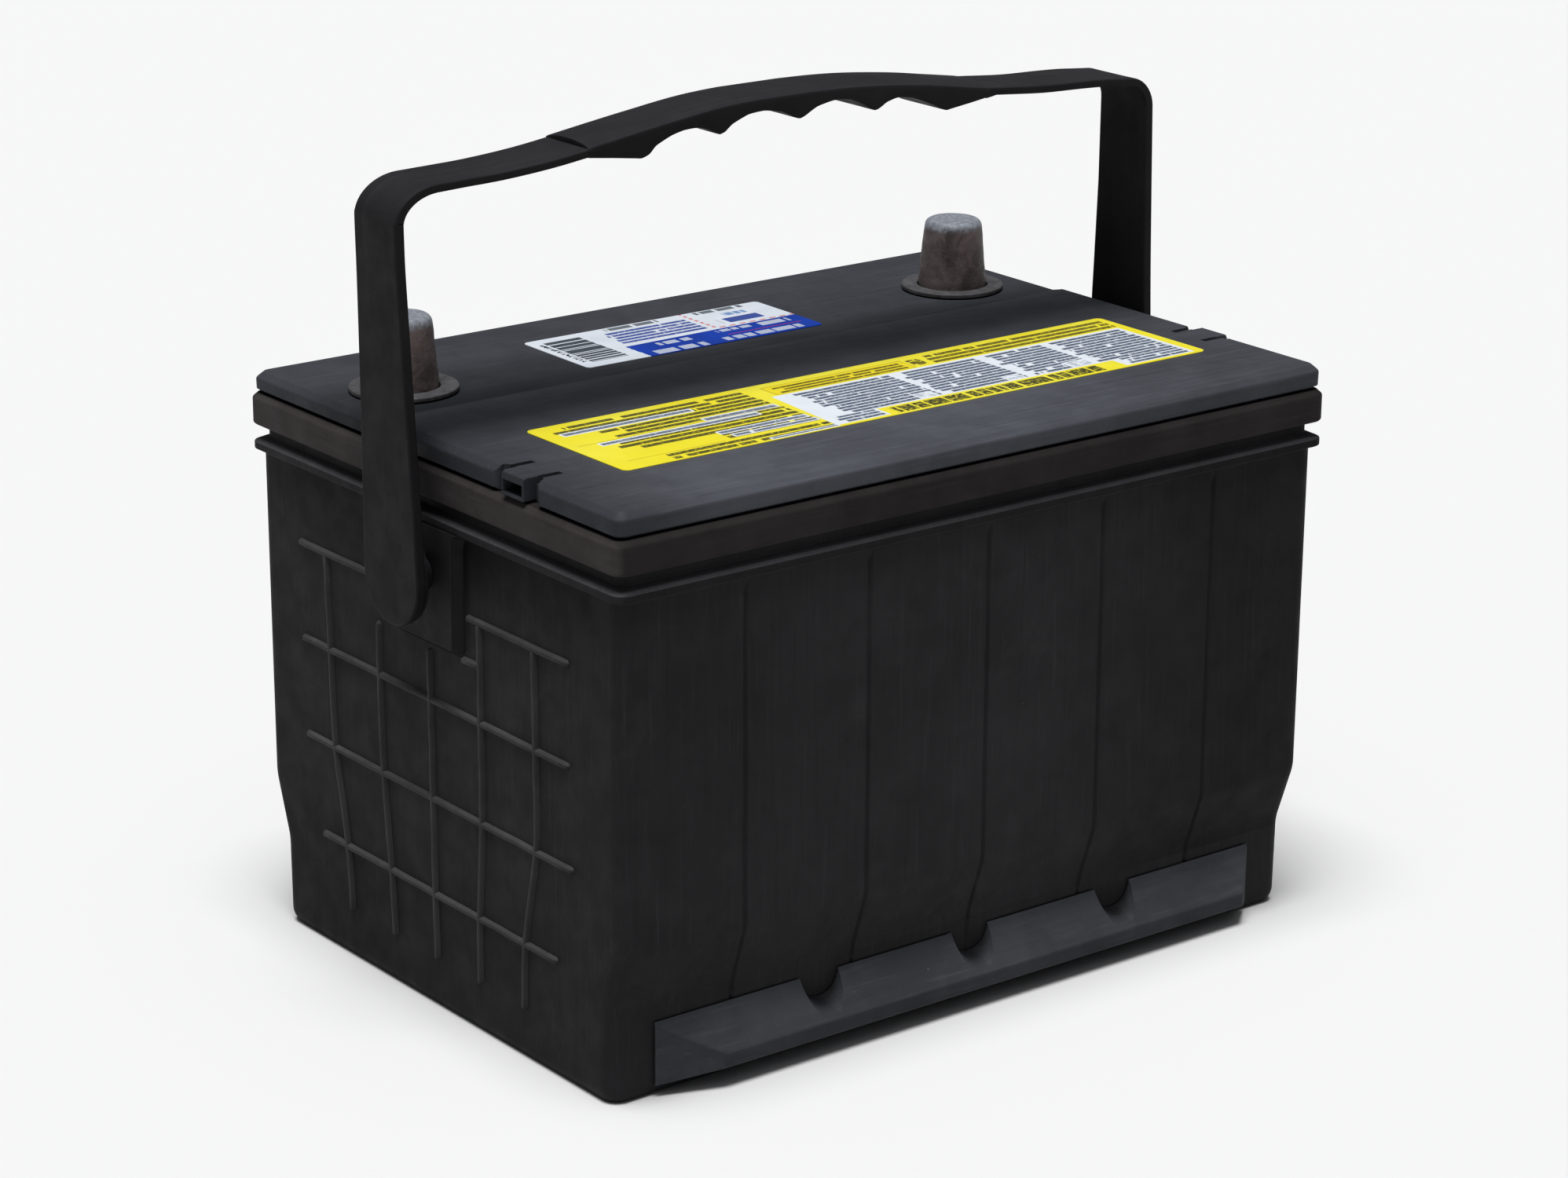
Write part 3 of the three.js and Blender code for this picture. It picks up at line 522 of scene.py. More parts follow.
def rail_light_and_shade(m, colour):
    """Painted light makes the slopes lighter, painted shade darkens the narrow bottom face and the end faces, and
    painted shade fills the notches toward the wall.
    """
    x, y, z = m.xyz
    ay = m.math("ABSOLUTE", y)
    deep = m.sub(m.sub(20.7, m.mul(m.sub(ay, 80.75), 1.54)), z)
    ax = m.math("ABSOLUTE", x)
    # painted shade in the notches toward the wall
    notch_shade = m.mul(m.ramp(deep, 0.5, 5.2), m.gt(z, 10.3), m.lt(ax, 66.0))
    # painted shade on the narrow bottom face
    lower_face_shade = m.mul(m.ramp(m.facing("Z"), 0.42, 0.2), m.ramp(m.math("ABSOLUTE", m.facing("Y")), 0.90, 0.985))
    # painted shade on the end faces
    end = m.ramp(m.math("ABSOLUTE", m.facing("X")), 0.2, 0.4)
    # painted light lifts the whole rail by 1.15 before the painted shade is taken off
    f = m.mul(m.sub(1.15, m.mul(lower_face_shade, 0.33)), m.sub(1.0, m.mul(notch_shade, 0.80)), m.sub(1.0, m.mul(end, 0.10)))
    return m.scale_colour(colour, f)


def rib_light_and_shade(m, colour):
    """Painted light on the upper edges, painted shade on the undersides."""
    # painted light on upward faces, painted shade on downward faces
    up = m.ramp(m.facing("Z"), 0.1, 0.6)
    downward_shade = m.ramp(m.facing("Z"), -0.15, -0.6)
    return m.scale_colour(colour, m.mul(m.add(1.0, m.mul(up, 0.9)), m.sub(1.0, m.mul(downward_shade, 0.7))))


def lug_painted_shade(m, colour):
    """Painted shade keeps the lug's sides and underside dark; its flat face is rubbed."""
    flank_shade = m.ramp(m.math("ABSOLUTE", m.facing("Y")), 0.35, 0.75)
    under_shade = m.ramp(m.facing("Z"), -0.3, -0.7)
    return m.scale_colour(colour, m.mul(m.sub(1.0, m.mul(flank_shade, 0.62)), m.sub(1.0, m.mul(under_shade, 0.8))))


case_mat = plastic("case_polypropylene", (0.0145, 0.0143, 0.0155), (0.0190, 0.0188, 0.0204), rough=0.56, spec=0.05, grain=0.4, dust=0.6, streak=(0.9, 0.9, 0.03), wear=0.35, shade=case_light_and_shade)
lug_mat = plastic("lug_polypropylene", (0.0150, 0.0149, 0.0160), (0.0195, 0.0193, 0.0208), rough=0.56, spec=0.05, grain=0.4, dust=0.4, wear=0.6, shade=lug_painted_shade)
rail_mat = plastic("rail_polypropylene", (0.0300, 0.0312, 0.0355), (0.0425, 0.0442, 0.0500), rough=0.55, spec=0.06, grain=0.5, dust=0.9, streak=(0.03, 0.5, 0.5), wear=0.5, soft=0.2, shade=rail_light_and_shade)
handle_mat = plastic("handle_polypropylene", (0.0180, 0.0178, 0.0196), (0.0236, 0.0233, 0.0258), rough=0.5, spec=0.05, grain=0.3, dust=0.3, streak=(0.02, 1.2, 0.02), wear=0.4, soft=0.45, shade=handle_upright_shade)
lid_mat = plastic("lid_polypropylene", (0.0145, 0.0126, 0.0126), (0.0215, 0.0190, 0.0190), rough=0.6, spec=0.05, grain=0.7, dust=0.5, streak=(0.03, 0.03, 0.8), wear=0.5, shade=lid_end_light)
cover_mat = plastic("cover_polypropylene", (0.0275, 0.0290, 0.0345), (0.0372, 0.0394, 0.0464), rough=0.56, spec=0.08, grain=0.5, dust=0.45, streak=(0.035, 0.9, 0.9), wear=0.25, shade=cover_light_and_shade)


def lead(name, dark, mid, crown, crown_z, spec=0.3, metallic=0.0):
    """Cast lead: brown-mauve oxide in mottled patches, streaked upright, with a rubbed grey crown."""
    m = Tree(name)
    x, y, z = m.xyz
    blotch = m.noise(0.13, 5, 0.6, distort=0.6)
    colour = m.mix(m.ramp(blotch, 0.34, 0.66), dark, mid)
    upright = m.noise(1.0, 3, 0.5, at=m.stretch(0.17, 0.17, 0.05))
    colour = m.mix(m.ramp(upright, 0.54, 0.76, 0.0, 0.34), colour, tuple(c * 1.7 for c in mid))
    colour = m.mix(m.ramp(upright, 0.46, 0.3, 0.0, 0.28), colour, tuple(c * 0.6 for c in dark))
    pits = m.ramp(m.cells(0.9), 0.0, 0.22, 0.55, 0.0)
    colour = m.mix(pits, colour, tuple(c * 0.6 for c in dark))
    edge = m.add(z, m.mul(m.sub(m.noise(0.35, 4, 0.7), 0.5), 3.2))
    crown_tone = m.mix(m.ramp(m.noise(0.7, 5, 0.7), 0.35, 0.7), tuple(c * 0.72 for c in crown), tuple(c * 1.25 for c in crown))
    colour = m.mix(m.ramp(edge, crown_z - 0.9, crown_z + 1.0), colour, crown_tone)
    r = m.ramp(m.noise(0.5, 4, 0.6), 0.3, 0.7, 0.46, 0.68)
    n = m.bump(m.noise(0.55, 5, 0.65), 0.35, 0.5)
    n = m.bump(m.noise(3.0, 3, 0.6), 0.2, 0.12, n)
    return m.finish(colour, r, n, metallic=metallic, spec=spec)


post_mat = lead("post_lead", (0.055, 0.041, 0.0415), (0.126, 0.097, 0.097), (0.200, 0.216, 0.245), 179.3)
collar_mat = lead("collar_lead", (0.036, 0.034, 0.035), (0.075, 0.072, 0.074), (0.063, 0.064, 0.069), 162.1, spec=0.2)


def inner_metal(name, dark, light, spec=0.35):
    m = Tree(name)
    colour = m.mix(m.ramp(m.noise(0.3, 5, 0.6), 0.35, 0.65), dark, light)
    colour = m.mix(m.ramp(m.cells(0.8), 0.0, 0.3, 0.4, 0.0), colour, tuple(c * 0.6 for c in dark))
    return m.finish(colour, m.ramp(m.noise(0.4, 3), 0.3, 0.7, 0.5, 0.75), m.bump(m.noise(1.5, 4), 0.4, 0.3, m.soft_edges(0.25)), spec=spec)


def pasted_plate(name, dark, light):
    """Paste pressed into a cast grid, whose bars show through."""
    m = Tree(name)
    x, y, z = m.xyz
    bars = m.most(
        m.gt(m.math("ABSOLUTE", m.sub(m.math("FRACT", m.mul(y, 1 / 9.0)), 0.5)), 0.44),
        m.gt(m.math("ABSOLUTE", m.sub(m.math("FRACT", m.mul(z, 1 / 6.0)), 0.5)), 0.45),
    )
    paste = m.mix(m.ramp(m.noise(0.5, 5, 0.7), 0.3, 0.7), dark, light)
    colour = m.mix(m.mul(bars, 0.5), paste, tuple(c * 1.6 for c in light))
    n = m.bump(m.add(m.mul(bars, 0.6), m.mul(m.noise(1.6, 4), 0.5)), 0.5, 0.4)
    return m.finish(colour, m.ramp(m.noise(0.4, 3), 0.3, 0.7, 0.75, 0.95), n, spec=0.2)


def separator_sheet(name):
    """Microporous sheet with upright ribs."""
    m = Tree(name)
    x, y, z = m.xyz
    ribs = m.ramp(m.math("ABSOLUTE", m.sub(m.math("FRACT", m.mul(y, 1 / 7.0)), 0.5)), 0.40, 0.5)
    colour = m.mix(m.ramp(m.noise(0.25, 4), 0.35, 0.65), (0.38, 0.39, 0.41), (0.50, 0.51, 0.53))
    colour = m.mix(m.mul(ribs, 0.4), colour, (0.62, 0.63, 0.64))
    n = m.bump(m.add(ribs, m.mul(m.noise(2.5, 3), 0.3)), 0.4, 0.3)
    return m.finish(colour, m.ramp(m.noise(0.6, 2), 0.3, 0.7, 0.7, 0.85), n, spec=0.25)


def frit_stone(name):
    m = Tree(name)
    colour = m.mix(m.ramp(m.cells(1.6), 0.0, 0.5), (0.07, 0.065, 0.06), (0.19, 0.18, 0.165))
    return m.finish(colour, m.ramp(m.noise(1.2, 3), 0.3, 0.7, 0.85, 0.98), m.bump(m.cells(1.6), 0.8, 0.4), spec=0.2)


# printed film labels ------------------------------------------------
def letters(m, x, y, x0, x1, y0, y1, pitch, duty, seed, ragged=0.0, gaps=0.33, keep=1.0, fine=1.3):
    """Rows of plain word-like dashes filling a rectangle: no letters, only broken bars."""
    row = m.math("FLOOR", m.mul(m.sub(y, y0), 1.0 / pitch))
    part = m.math("FRACT", m.mul(m.sub(y, y0), 1.0 / pitch))
    bar = m.lt(m.math("ABSOLUTE", m.sub(part, 0.5)), duty / 2)
    wn = m.t.nodes.new("ShaderNodeTexWhiteNoise")
    wn.noise_dimensions = "2D"
    m.put(wn.inputs["Vector"], m.vec(row, seed))
    end = m.add(x0, m.mul(wn.outputs["Value"], ragged))
    inside = m.mul(m.gt(x, end), m.lt(x, x1), m.gt(y, y0), m.lt(y, y1))
    words = m.gt(m.noise(1.0, 0, 0.5, at=m.vec(m.mul(x, 0.42), m.mul(row, 7.31), seed)), gaps)
    glyph = m.ramp(m.noise(1.0, 1, 0.6, at=m.vec(m.mul(x, fine), m.mul(y, fine * 0.7), seed + 3.3)), 0.28, 0.5, 0.62, 1.0)
    out = m.mul(bar, inside, words, glyph)
    return m.mul(out, keep) if keep != 1.0 else out


def rect(m, x, y, x0, x1, y0, y1):
    return m.mul(m.gt(x, x0), m.lt(x, x1), m.gt(y, y0), m.lt(y, y1))


def label_main_material():
    m = Tree("label_main_print")
    x, y, z = m.xyz
    yellow, gold = (0.94, 0.82, 0.030), (0.92, 0.72, 0.008)
    pale, ink, blue_ink = (0.84, 0.89, 0.95), (0.050, 0.047, 0.018), (0.034, 0.062, 0.125)
    cloud = m.noise(0.03, 3)
    colour = m.mix(m.ramp(cloud, 0.35, 0.65), yellow, (0.95, 0.86, 0.060))
    # white panel, right two thirds
    white = m.mul(m.gt(m.add(x, m.mul(y, -0.09)), -22.6), m.lt(x, 99.3), m.lt(y, -24.3), m.gt(y, -56.4))
    header = rect(m, x, y, -9.5, 74.0, -58, -50.2)
    white = m.mul(white, m.inv(header))
    # tinted box in the strip at the back
    box_in = rect(m, x, y, -22.5, 26.0, -23.7, -15.6)
    colour = m.mix(m.mul(box_in, 0.75), colour, gold)
    colour = m.mix(white, colour, pale)
    # white highlights behind some rows, left third
    marks = []
    for x0, x1, y0, y1 in ((-91.5, -49.5, -23.5, -20.4), (-88.5, -37.0, -36.4, -33.4), (-53.0, -28.5, -33.2, -30.0), (-57.5, -28.0, -45.6, -42.6), (-55.5, -27.5, -49.4, -46.6), (-49.5, -27.0, -57.3, -55.4)):
        marks.append(rect(m, x, y, x0, x1, y0, y1))
    high = m.most(*marks)
    inner_rows = []
    for k, (x0, x1, y0, y1) in enumerate(((-91.5, -49.5, -23.5, -20.4), (-88.5, -37.0, -36.4, -33.4), (-53.0, -28.5, -33.2, -30.0), (-57.5, -28.0, -45.6, -42.6), (-55.5, -27.5, -49.4, -46.6), (-49.5, -27.0, -57.3, -55.4))):
        inner_rows.append(letters(m, x, y, x0 + 0.6, x1 - 0.6, y0 + 0.3, y1 - 0.3, y1 - y0 - 0.6, 0.72, 81.0 + 3.1 * k, gaps=0.24))
    inner_rows = m.most(*inner_rows)
    colour = m.mix(high, colour, pale)
    # dark rows on yellow
    rows = m.most(
        letters(m, x, y, -93.0, -29.0, -24.0, -15.2, 2.95, 0.66, 1.7, ragged=6, gaps=0.30),
        letters(m, x, y, -91.0, -28.6, -32.3, -24.0, 2.8, 0.7, 4.2, ragged=16, gaps=0.27),
        letters(m, x, y, -90.0, -28.0, -50.2, -33.4, 3.0, 0.7, 9.1, ragged=18, gaps=0.27),
        letters(m, x, y, -91.5, -27.5, -57.2, -51.4, 2.9, 0.68, 12.4, ragged=6, gaps=0.29),
    )
    blank = m.most(rect(m, x, y, -94, -57.5, -50.6, -44.2), rect(m, x, y, -96, -80, -57.5, -50.0), white, box_in)
    rows = m.mul(rows, m.inv(blank))
    colour = m.mix(m.mul(rows, m.inv(high), 0.94), colour, ink)
    colour = m.mix(m.mul(inner_rows, high, m.inv(white), 0.85), colour, blue_ink)
    thin = m.mul(m.lt(m.math("ABSOLUTE", m.sub(y, -32.9)), 0.22), m.gt(x, -94.0), m.lt(x, -28.0))
    thin2 = m.mul(m.lt(m.math("ABSOLUTE", m.sub(y, -50.9)), 0.22), m.gt(x, -91.0), m.lt(x, -60.0))
    colour = m.mix(m.mul(m.most(thin, thin2), 0.5), colour, (0.35, 0.28, 0.02))
    # strip at the back
    strip = m.most(
        letters(m, x, y, -20.5, 24.0, -23.3, -17.0, 2.1, 0.62, 21.0, ragged=5, gaps=0.26),
        letters(m, x, y, 33.0, 100.0, -23.6, -14.9, 2.9, 0.68, 25.0, ragged=3, gaps=0.27),
        m.mul(rect(m, x, y, 27.0, 31.5, -22.3, -16.6), m.gt(m.noise(0.9, 2), 0.42)),
    )
    colour = m.mix(m.mul(strip, 0.92), colour, (0.085, 0.070, 0.012))
    rim = m.mul(box_in, m.inv(rect(m, x, y, -22.1, 25.6, -23.3, -16.0)))
    colour = m.mix(m.mul(rim, 0.6), colour, (0.35, 0.27, 0.02))
    # four columns of rows on white
    cols = []
    for k, (x0, x1, y0) in enumerate(((-20.0, 14.0, -49.6), (15.2, 44.3, -49.6), (45.6, 68.6, -49.6), (70.0, 98.0, -49.6))):
        cols.append(letters(m, x, y, x0, x1, y0, -25.2, 2.2, 0.74, 31.0 + 5.7 * k, ragged=4, gaps=0.27))
    cols.append(letters(m, x, y, -24.5, -10.5, -56.0, -50.0, 2.2, 0.7, 61.0, ragged=3, gaps=0.27))
    cols.append(letters(m, x, y, 76.0, 98.0, -56.0, -49.8, 2.2, 0.7, 66.0, ragged=3, gaps=0.27))
    small = m.mul(m.most(rect(m, x, y, 7.0, 12.5, -49.2, -45.0), rect(m, x, y, 38.0, 43.0, -49.2, -45.5), rect(m, x, y, 61.0, 68.0, -49.2, -44.5)), m.ramp(m.noise(0.55, 2), 0.45, 0.55))
    body_rows = m.mul(m.most(*cols), m.inv(rect(m, x, y, 6.5, 13.0, -49.8, -44.5)), m.inv(rect(m, x, y, 37.5, 43.5, -49.8, -45.0)), m.inv(rect(m, x, y, 60.5, 69.0, -49.8, -44.0)))
    colour = m.mix(m.mul(body_rows, white, 0.92), colour, blue_ink)
    colour = m.mix(m.mul(small, white, 0.55), colour, (0.25, 0.32, 0.42))
    # heavy blocks in the front header
    head = m.mul(rect(m, x, y, -7.0, 66.5, -56.6, -51.4), m.gt(m.noise(1.0, 0, 0.5, at=m.vec(m.mul(x, 0.55), 3.0, 8.0)), 0.40), m.ramp(m.noise(1.0, 1, 0.5, at=m.vec(m.mul(x, 0.9), m.mul(y, 0.8), 5.0)), 0.36, 0.52, 0.55, 1.0))
    colour = m.mix(m.mul(head, 0.95), colour, (0.03, 0.03, 0.018))
    dirt = m.ramp(m.noise(0.09, 6, 0.7, distort=1.0), 0.55, 0.8, 0.0, 0.05)
    colour = m.mix(dirt, colour, (0.25, 0.25, 0.24))
    colour = m.scale_colour(colour, 0.745)
    r = m.ramp(m.noise(0.15, 4), 0.3, 0.7, 0.36, 0.5)
    return m.finish(colour, r, m.bump(m.noise(0.06, 2), 0.12, 0.4), spec=0.25)


def label_small_material():
    m = Tree("label_small_print")
    x, y, z = m.xyz
    white, blue = (0.82, 0.87, 0.94), (0.0040, 0.040, 0.36)
    colour = m.mix(m.ramp(m.noise(0.04, 3), 0.35, 0.65), white, (0.76, 0.82, 0.90))
    edge = m.mul(m.gt(m.add(x, m.mul(m.sub(m.noise(0.6, 3), 0.5), 1.6)), -23.6), m.lt(y, m.add(45.2, m.mul(x, 0.02))))
    # dashes of generic stripes at the left end
    code = m.mul(rect(m, x, y, -40.4, -28.0, 36.8, 61.2), m.gt(m.noise(1.0, 0, 0.5, at=m.vec(2.0, m.mul(y, 0.95), 5.0)), 0.42))
    code2 = m.mul(rect(m, x, y, -42.6, -41.0, 38.0, 60.0), m.gt(m.noise(1.0, 1, 0.5, at=m.vec(m.mul(x, 0.8), m.mul(y, 0.9), 9.0)), 0.5))
    colour = m.mix(m.mul(m.most(code, code2), 0.95), colour, (0.025, 0.035, 0.05))
    grey = m.mul(m.most(rect(m, x, y, -18.0, 0.5, 61.6, 64.2), rect(m, x, y, 13.5, 30.5, 61.6, 64.2)), m.gt(m.noise(1.0, 0, 0.5, at=m.vec(m.mul(x, 0.55), 3.0, 1.0)), 0.42))
    colour = m.mix(m.mul(grey, 0.9), colour, (0.09, 0.11, 0.13))
    rows = m.most(
        letters(m, x, y, -22.0, 7.5, 47.2, 60.2, 2.6, 0.66, 5.0, ragged=3, gaps=0.27),
        m.mul(rect(m, x, y, 14.5, 29.5, 49.2, 54.0), m.gt(m.noise(1.0, 0, 0.5, at=m.vec(m.mul(x, 0.35), 1.0, 4.0)), 0.42)),
    )
    colour = m.mix(m.mul(rows, 0.95), colour, (0.012, 0.05, 0.33))
    sky = m.mul(rect(m, x, y, 20.0, 28.0, 56.2, 59.0), m.gt(m.noise(1.0, 0, 0.5, at=m.vec(m.mul(x, 0.7), 6.0, 4.0)), 0.4))
    colour = m.mix(m.mul(sky, 0.8), colour, (0.06, 0.22, 0.55))
    red1 = m.mul(m.lt(m.math("ABSOLUTE", m.sub(x, 9.7)), 0.45), m.gt(y, 46.8), m.lt(m.math("FRACT", m.mul(y, 0.36)), 0.6))
    red2 = m.mul(m.lt(m.math("ABSOLUTE", m.sub(y, 46.6)), 0.4), m.gt(x, 9.7), m.lt(m.math("FRACT", m.mul(x, 0.28)), 0.6))
    colour = m.mix(m.mul(m.most(red1, red2), 0.85), colour, (0.72, 0.05, 0.05))
    colour = m.mix(edge, colour, m.mix(m.ramp(m.noise(0.05, 3), 0.35, 0.65), blue, (0.005, 0.052, 0.45)))
    pale = m.most(
        m.mul(rect(m, x, y, -15.5, -3.0, 40.2, 43.2), m.gt(m.noise(1.0, 0, 0.5, at=m.vec(m.mul(x, 0.5), 2.0, 4.0)), 0.42)),
        m.mul(rect(m, x, y, -21.0, -2.5, 32.8, 36.6), m.gt(m.noise(1.0, 0, 0.5, at=m.vec(m.mul(x, 0.45), 8.0, 4.0)), 0.42)),
        m.mul(rect(m, x, y, 7.0, 19.0, 42.0, 44.3), m.gt(m.noise(1.0, 0, 0.5, at=m.vec(m.mul(x, 0.7), 5.0, 2.0)), 0.42)),
        m.mul(rect(m, x, y, 22.0, 32.5, 41.0, 44.4), m.gt(m.noise(1.0, 0, 0.5, at=m.vec(m.mul(x, 0.4), 5.0, 7.0)), 0.42)),
        m.mul(rect(m, x, y, 4.0, 31.5, 33.4, 36.8), m.gt(m.noise(1.0, 0, 0.5, at=m.vec(m.mul(x, 0.5), 12.0, 2.0)), 0.40)),
    )
    colour = m.mix(m.mul(pale, edge, 0.85), colour, (0.62, 0.68, 0.80))
    line = m.mul(m.lt(m.math("ABSOLUTE", m.sub(y, 38.8)), 0.28), m.gt(x, 8.0), m.lt(x, 34.0))
    colour = m.mix(m.mul(line, 0.75), colour, (0.40, 0.02, 0.10))
    colour = m.scale_colour(colour, 0.71)
    r = m.ramp(m.noise(0.15, 4), 0.3, 0.7, 0.3, 0.45)
    return m.finish(colour, r, m.bump(m.noise(0.06, 2), 0.12, 0.4), spec=0.25)


# ------------------------------------------------------------------ case
def wall_hx(z):
    return BASE_HX + (WALL_HX - BASE_HX) * z / FLANGE_Z0


levels = [
    (0.0, BASE_HX - 2.6, BASE_HY - 2.6, 3.6, 0),
    (0.5, BASE_HX - 1.1, BASE_HY - 1.1, 4.3, 0.5),
    (2.8, BASE_HX, BASE_HY, CORNER_R, 1.2),
    (KINK_LOW_Z, wall_hx(KINK_LOW_Z), FOOT_TOP_HY, CORNER_R, 2.2),
    (KINK_HIGH_Z, wall_hx(KINK_HIGH_Z), WALL_HY, CORNER_R, 2.2),
    (FLANGE_Z0 - 0.3, WALL_HX, WALL_HY, CORNER_R, 0.5),
    (FLANGE_Z0 + 0.3, FLANGE_HX, FLANGE_HY, 4.2, 0.3),
    (FLANGE_Z1, FLANGE_HX, FLANGE_HY, 4.2, 0.3),
    (FLANGE_Z2, FLANGE_HX - NECK_INSET, FLANGE_HY - NECK_INSET, 3.2, 0.3),
    (NECK_Z, FLANGE_HX - NECK_INSET, FLANGE_HY - NECK_INSET, 3.2, 0),
]
rings = eased(levels, 4, 0.3)
extra = []
for a, b in zip(rings, rings[1:]):
    extra.append(a)
    if b[0] - a[0] > 20:  # a few rings in the tall walls, where the partition lines fade
        for t in (0.03, 0.35, 0.7, 0.97):
            extra.append(tuple(u + (v - u) * t for u, v in zip(a, b)))
rings = extra + [rings[-1]]
PARTITIONS = (-80.0, -40.0, 0.0, 40.0, 80.0)


def line_depth(z):
    return 0.7 if 22.0 < z < 136.5 else 0.0


case_ob = make("case_shell", *slab(rings, PARTITIONS, line_depth, 8, half=0.85), None)
cutters = []
for i in range(6):
    x0 = -INNER_HX if i == 0 else (i - 3) * 40.0 + 1.0
    x1 = INNER_HX if i == 5 else (i - 2) * 40.0 - 1.0
    rr = [[(x0, -h, z), (x1, -h, z), (x1, h, z), (x0, h, z)] for z, h in ((FLOOR_T, INNER_FOOT_HY), (KINK_LOW_Z + 0.8, INNER_FOOT_HY), (KINK_HIGH_Z + 0.8, INNER_HY), (NECK_Z + 2, INNER_HY))]
    cutters.append(make("cutter", *loft(rr), None))
boolean(case_ob, cutters)
boolean(case_ob, [block(106.6, 117.2, -9, 9, 112, 137.5), block(-117.2, -106.6, -9, 9, 112, 137.5)], "UNION")
boolean(case_ob, [rod("x", 4.8, 109.3, 125, 0, PIVOT_Z), rod("x", 4.8, -125, -109.3, 0, PIVOT_Z)])
for i in range(5):
    boolean(case_ob, [rod("x", 5.5, (i - 2) * 40.0 - 2, (i - 2) * 40.0 + 2, 52 if i % 2 else -52, 121, 24)])
case_ob.data.materials.clear()
case_ob.data.materials.append(case_mat)
settle(case_ob, "battery", "case_plastic", ("case",))

RIBS = [
    [[52.0, 116.2], [51.0, 88.6], [50.4, 60.5], [44.2, 33.2], [43.2, 14.0]],
    [[25.9, 103.9], [25.9, 88.6], [25.5, 60.5], [22.3, 33.0], [21.4, 14.0]],
    [[0.9, 103.0], [0.9, 60.5], [0.8, 33.0], [0.4, 14.0]],
    [[-23.0, 116.2], [-23.0, 60.5], [-20.5, 33.0], [-20.4, 14.0]],
    [[-48.0, 116.2], [-48.4, 60.5], [-41.4, 33.0], [-41.4, 14.0]],
    [[65.9, 116.2], [17.0, 116.2]],
    [[-17.0, 116.2], [-63.6, 116.2]],
    [[-14.5, 104.2], [-23.0, 104.2]],
    [[65.5, 88.6], [-63.4, 88.6]],
    [[64.9, 60.5], [-64.6, 60.5]],
    [[57.7, 33.0], [-56.9, 33.0]],
]
RIB_SECTION = [(-1.25, -0.35), (-1.08, 0.02), (-0.92, 0.2), (-0.72, 0.74), (-0.5, 0.98), (-0.2, 1.04), (0.2, 1.04), (0.5, 0.98), (0.72, 0.74), (0.92, 0.2), (1.08, 0.02), (1.25, -0.35)]


def rib_mesh(side):
    verts, faces = [], []
    for path in RIBS:
        pts = []
        for a, b in zip(path, path[1:]):  # finer stations, so that bends can be softened
            n = max(2, int(math.dist(a, b) / 5))
            for k in range(n):
                t = k / n
                pts.append([a[0] + (b[0] - a[0]) * t, a[1] + (b[1] - a[1]) * t])
        pts.append(list(path[-1]))
        first, last = pts[0], pts[-1]
        for _ in range(3):
            pts = [pts[0]] + [[(p[0] + 2 * q[0] + r[0]) / 4, (p[1] + 2 * q[1] + r[1]) / 4] for p, q, r in zip(pts, pts[1:], pts[2:])] + [pts[-1]]
        # rounded ends
        def unit(a, b):
            l = math.dist(a, b)
            return [(b[0] - a[0]) / l, (b[1] - a[1]) / l]
        d0, d1 = unit(pts[0], pts[1]), unit(pts[-2], pts[-1])
        st = [(pts[0], 0.0, 0.35), ([pts[0][0] + d0[0] * 0.35, pts[0][1] + d0[1] * 0.35], 0.6, 0.75), ([pts[0][0] + d0[0] * 0.9, pts[0][1] + d0[1] * 0.9], 1.0, 1.0)]
        st += [(p, 1.0, 1.0) for p in pts[1:-1]]
        st += [([pts[-1][0] - d1[0] * 0.9, pts[-1][1] - d1[1] * 0.9], 1.0, 1.0), ([pts[-1][0] - d1[0] * 0.35, pts[-1][1] - d1[1] * 0.35], 0.6, 0.75), (pts[-1], 0.0, 0.35)]
        base = len(verts)
        n = len(RIB_SECTION)
        for k, (p, high, wide) in enumerate(st):
            a = st[max(k - 1, 0)][0]
            b = st[min(k + 1, len(st) - 1)][0]
            d = unit(a, b)
            nx, nz = -d[1], d[0]
            jitter = rng.uniform(-0.06, 0.06)
            for u, h in RIB_SECTION:
                hh = h * high if h > 0 else h
                y, z = p[0] + nx * (u * wide + jitter), p[1] + nz * (u * wide + jitter)
                verts.append((side * (wall_hx(z) + hh * (1 + jitter)), y, z))
        m = len(st)
        for k in range(m - 1):
            for i in range(n):
                a, b = base + k * n + i, base + k * n + (i + 1) % n
                faces.append((a, b, b + n, a + n))
        faces.append(tuple(range(base, base + n))[::-1])
        faces.append(tuple(range(base + (m - 1) * n, base + m * n)))
    return verts, faces


rib_mat = plastic("rib_polypropylene", (0.0215, 0.0208, 0.0210), (0.0340, 0.0328, 0.0330), rough=0.5, spec=0.08, grain=0.35, dust=1.4, wear=0.0, shade=rib_light_and_shade)
for name, side in (("ribs_left", -1), ("ribs_right", 1)):
    make(name, *rib_mesh(side), rib_mat, slot="case_plastic", angle=60, weighted=False)


def lug_mesh(side):
    """Drafted pad with a swept foot where it meets the wall and the flange."""
    rings = []
    for x, half, drop in ((117.4, 16.3, -0.05), (118.35, 16.05, 0.0), (118.6, 15.8, 0.0), (118.85, 15.5, 0.02), (120.3, 13.5, 0.12), (120.5, 13.28, 0.2), (120.7, 13.05, 0.38), (120.8, 12.7, 0.7)):
        z0 = BOSS_Z0 + drop
        right = []
        for k in range(7):  # top flare into the flange
            t = k / 6
            a = math.radians(90 * t)
            right.append((half + 3.4 * (1 - math.sin(a)), FLANGE_Z0 + 0.15 - 4.4 * (1 - math.cos(a))))
        r = 1.2
        for k in range(7):
            a = math.radians(-90 * k / 6)
            right.append((half - r + r * math.cos(a), z0 + r + r * math.sin(a)))
        pts = right + [(-y, z) for y, z in reversed(right)]
        rings.append([(side * x, y, z) for y, z in pts])
    return loft(rings)


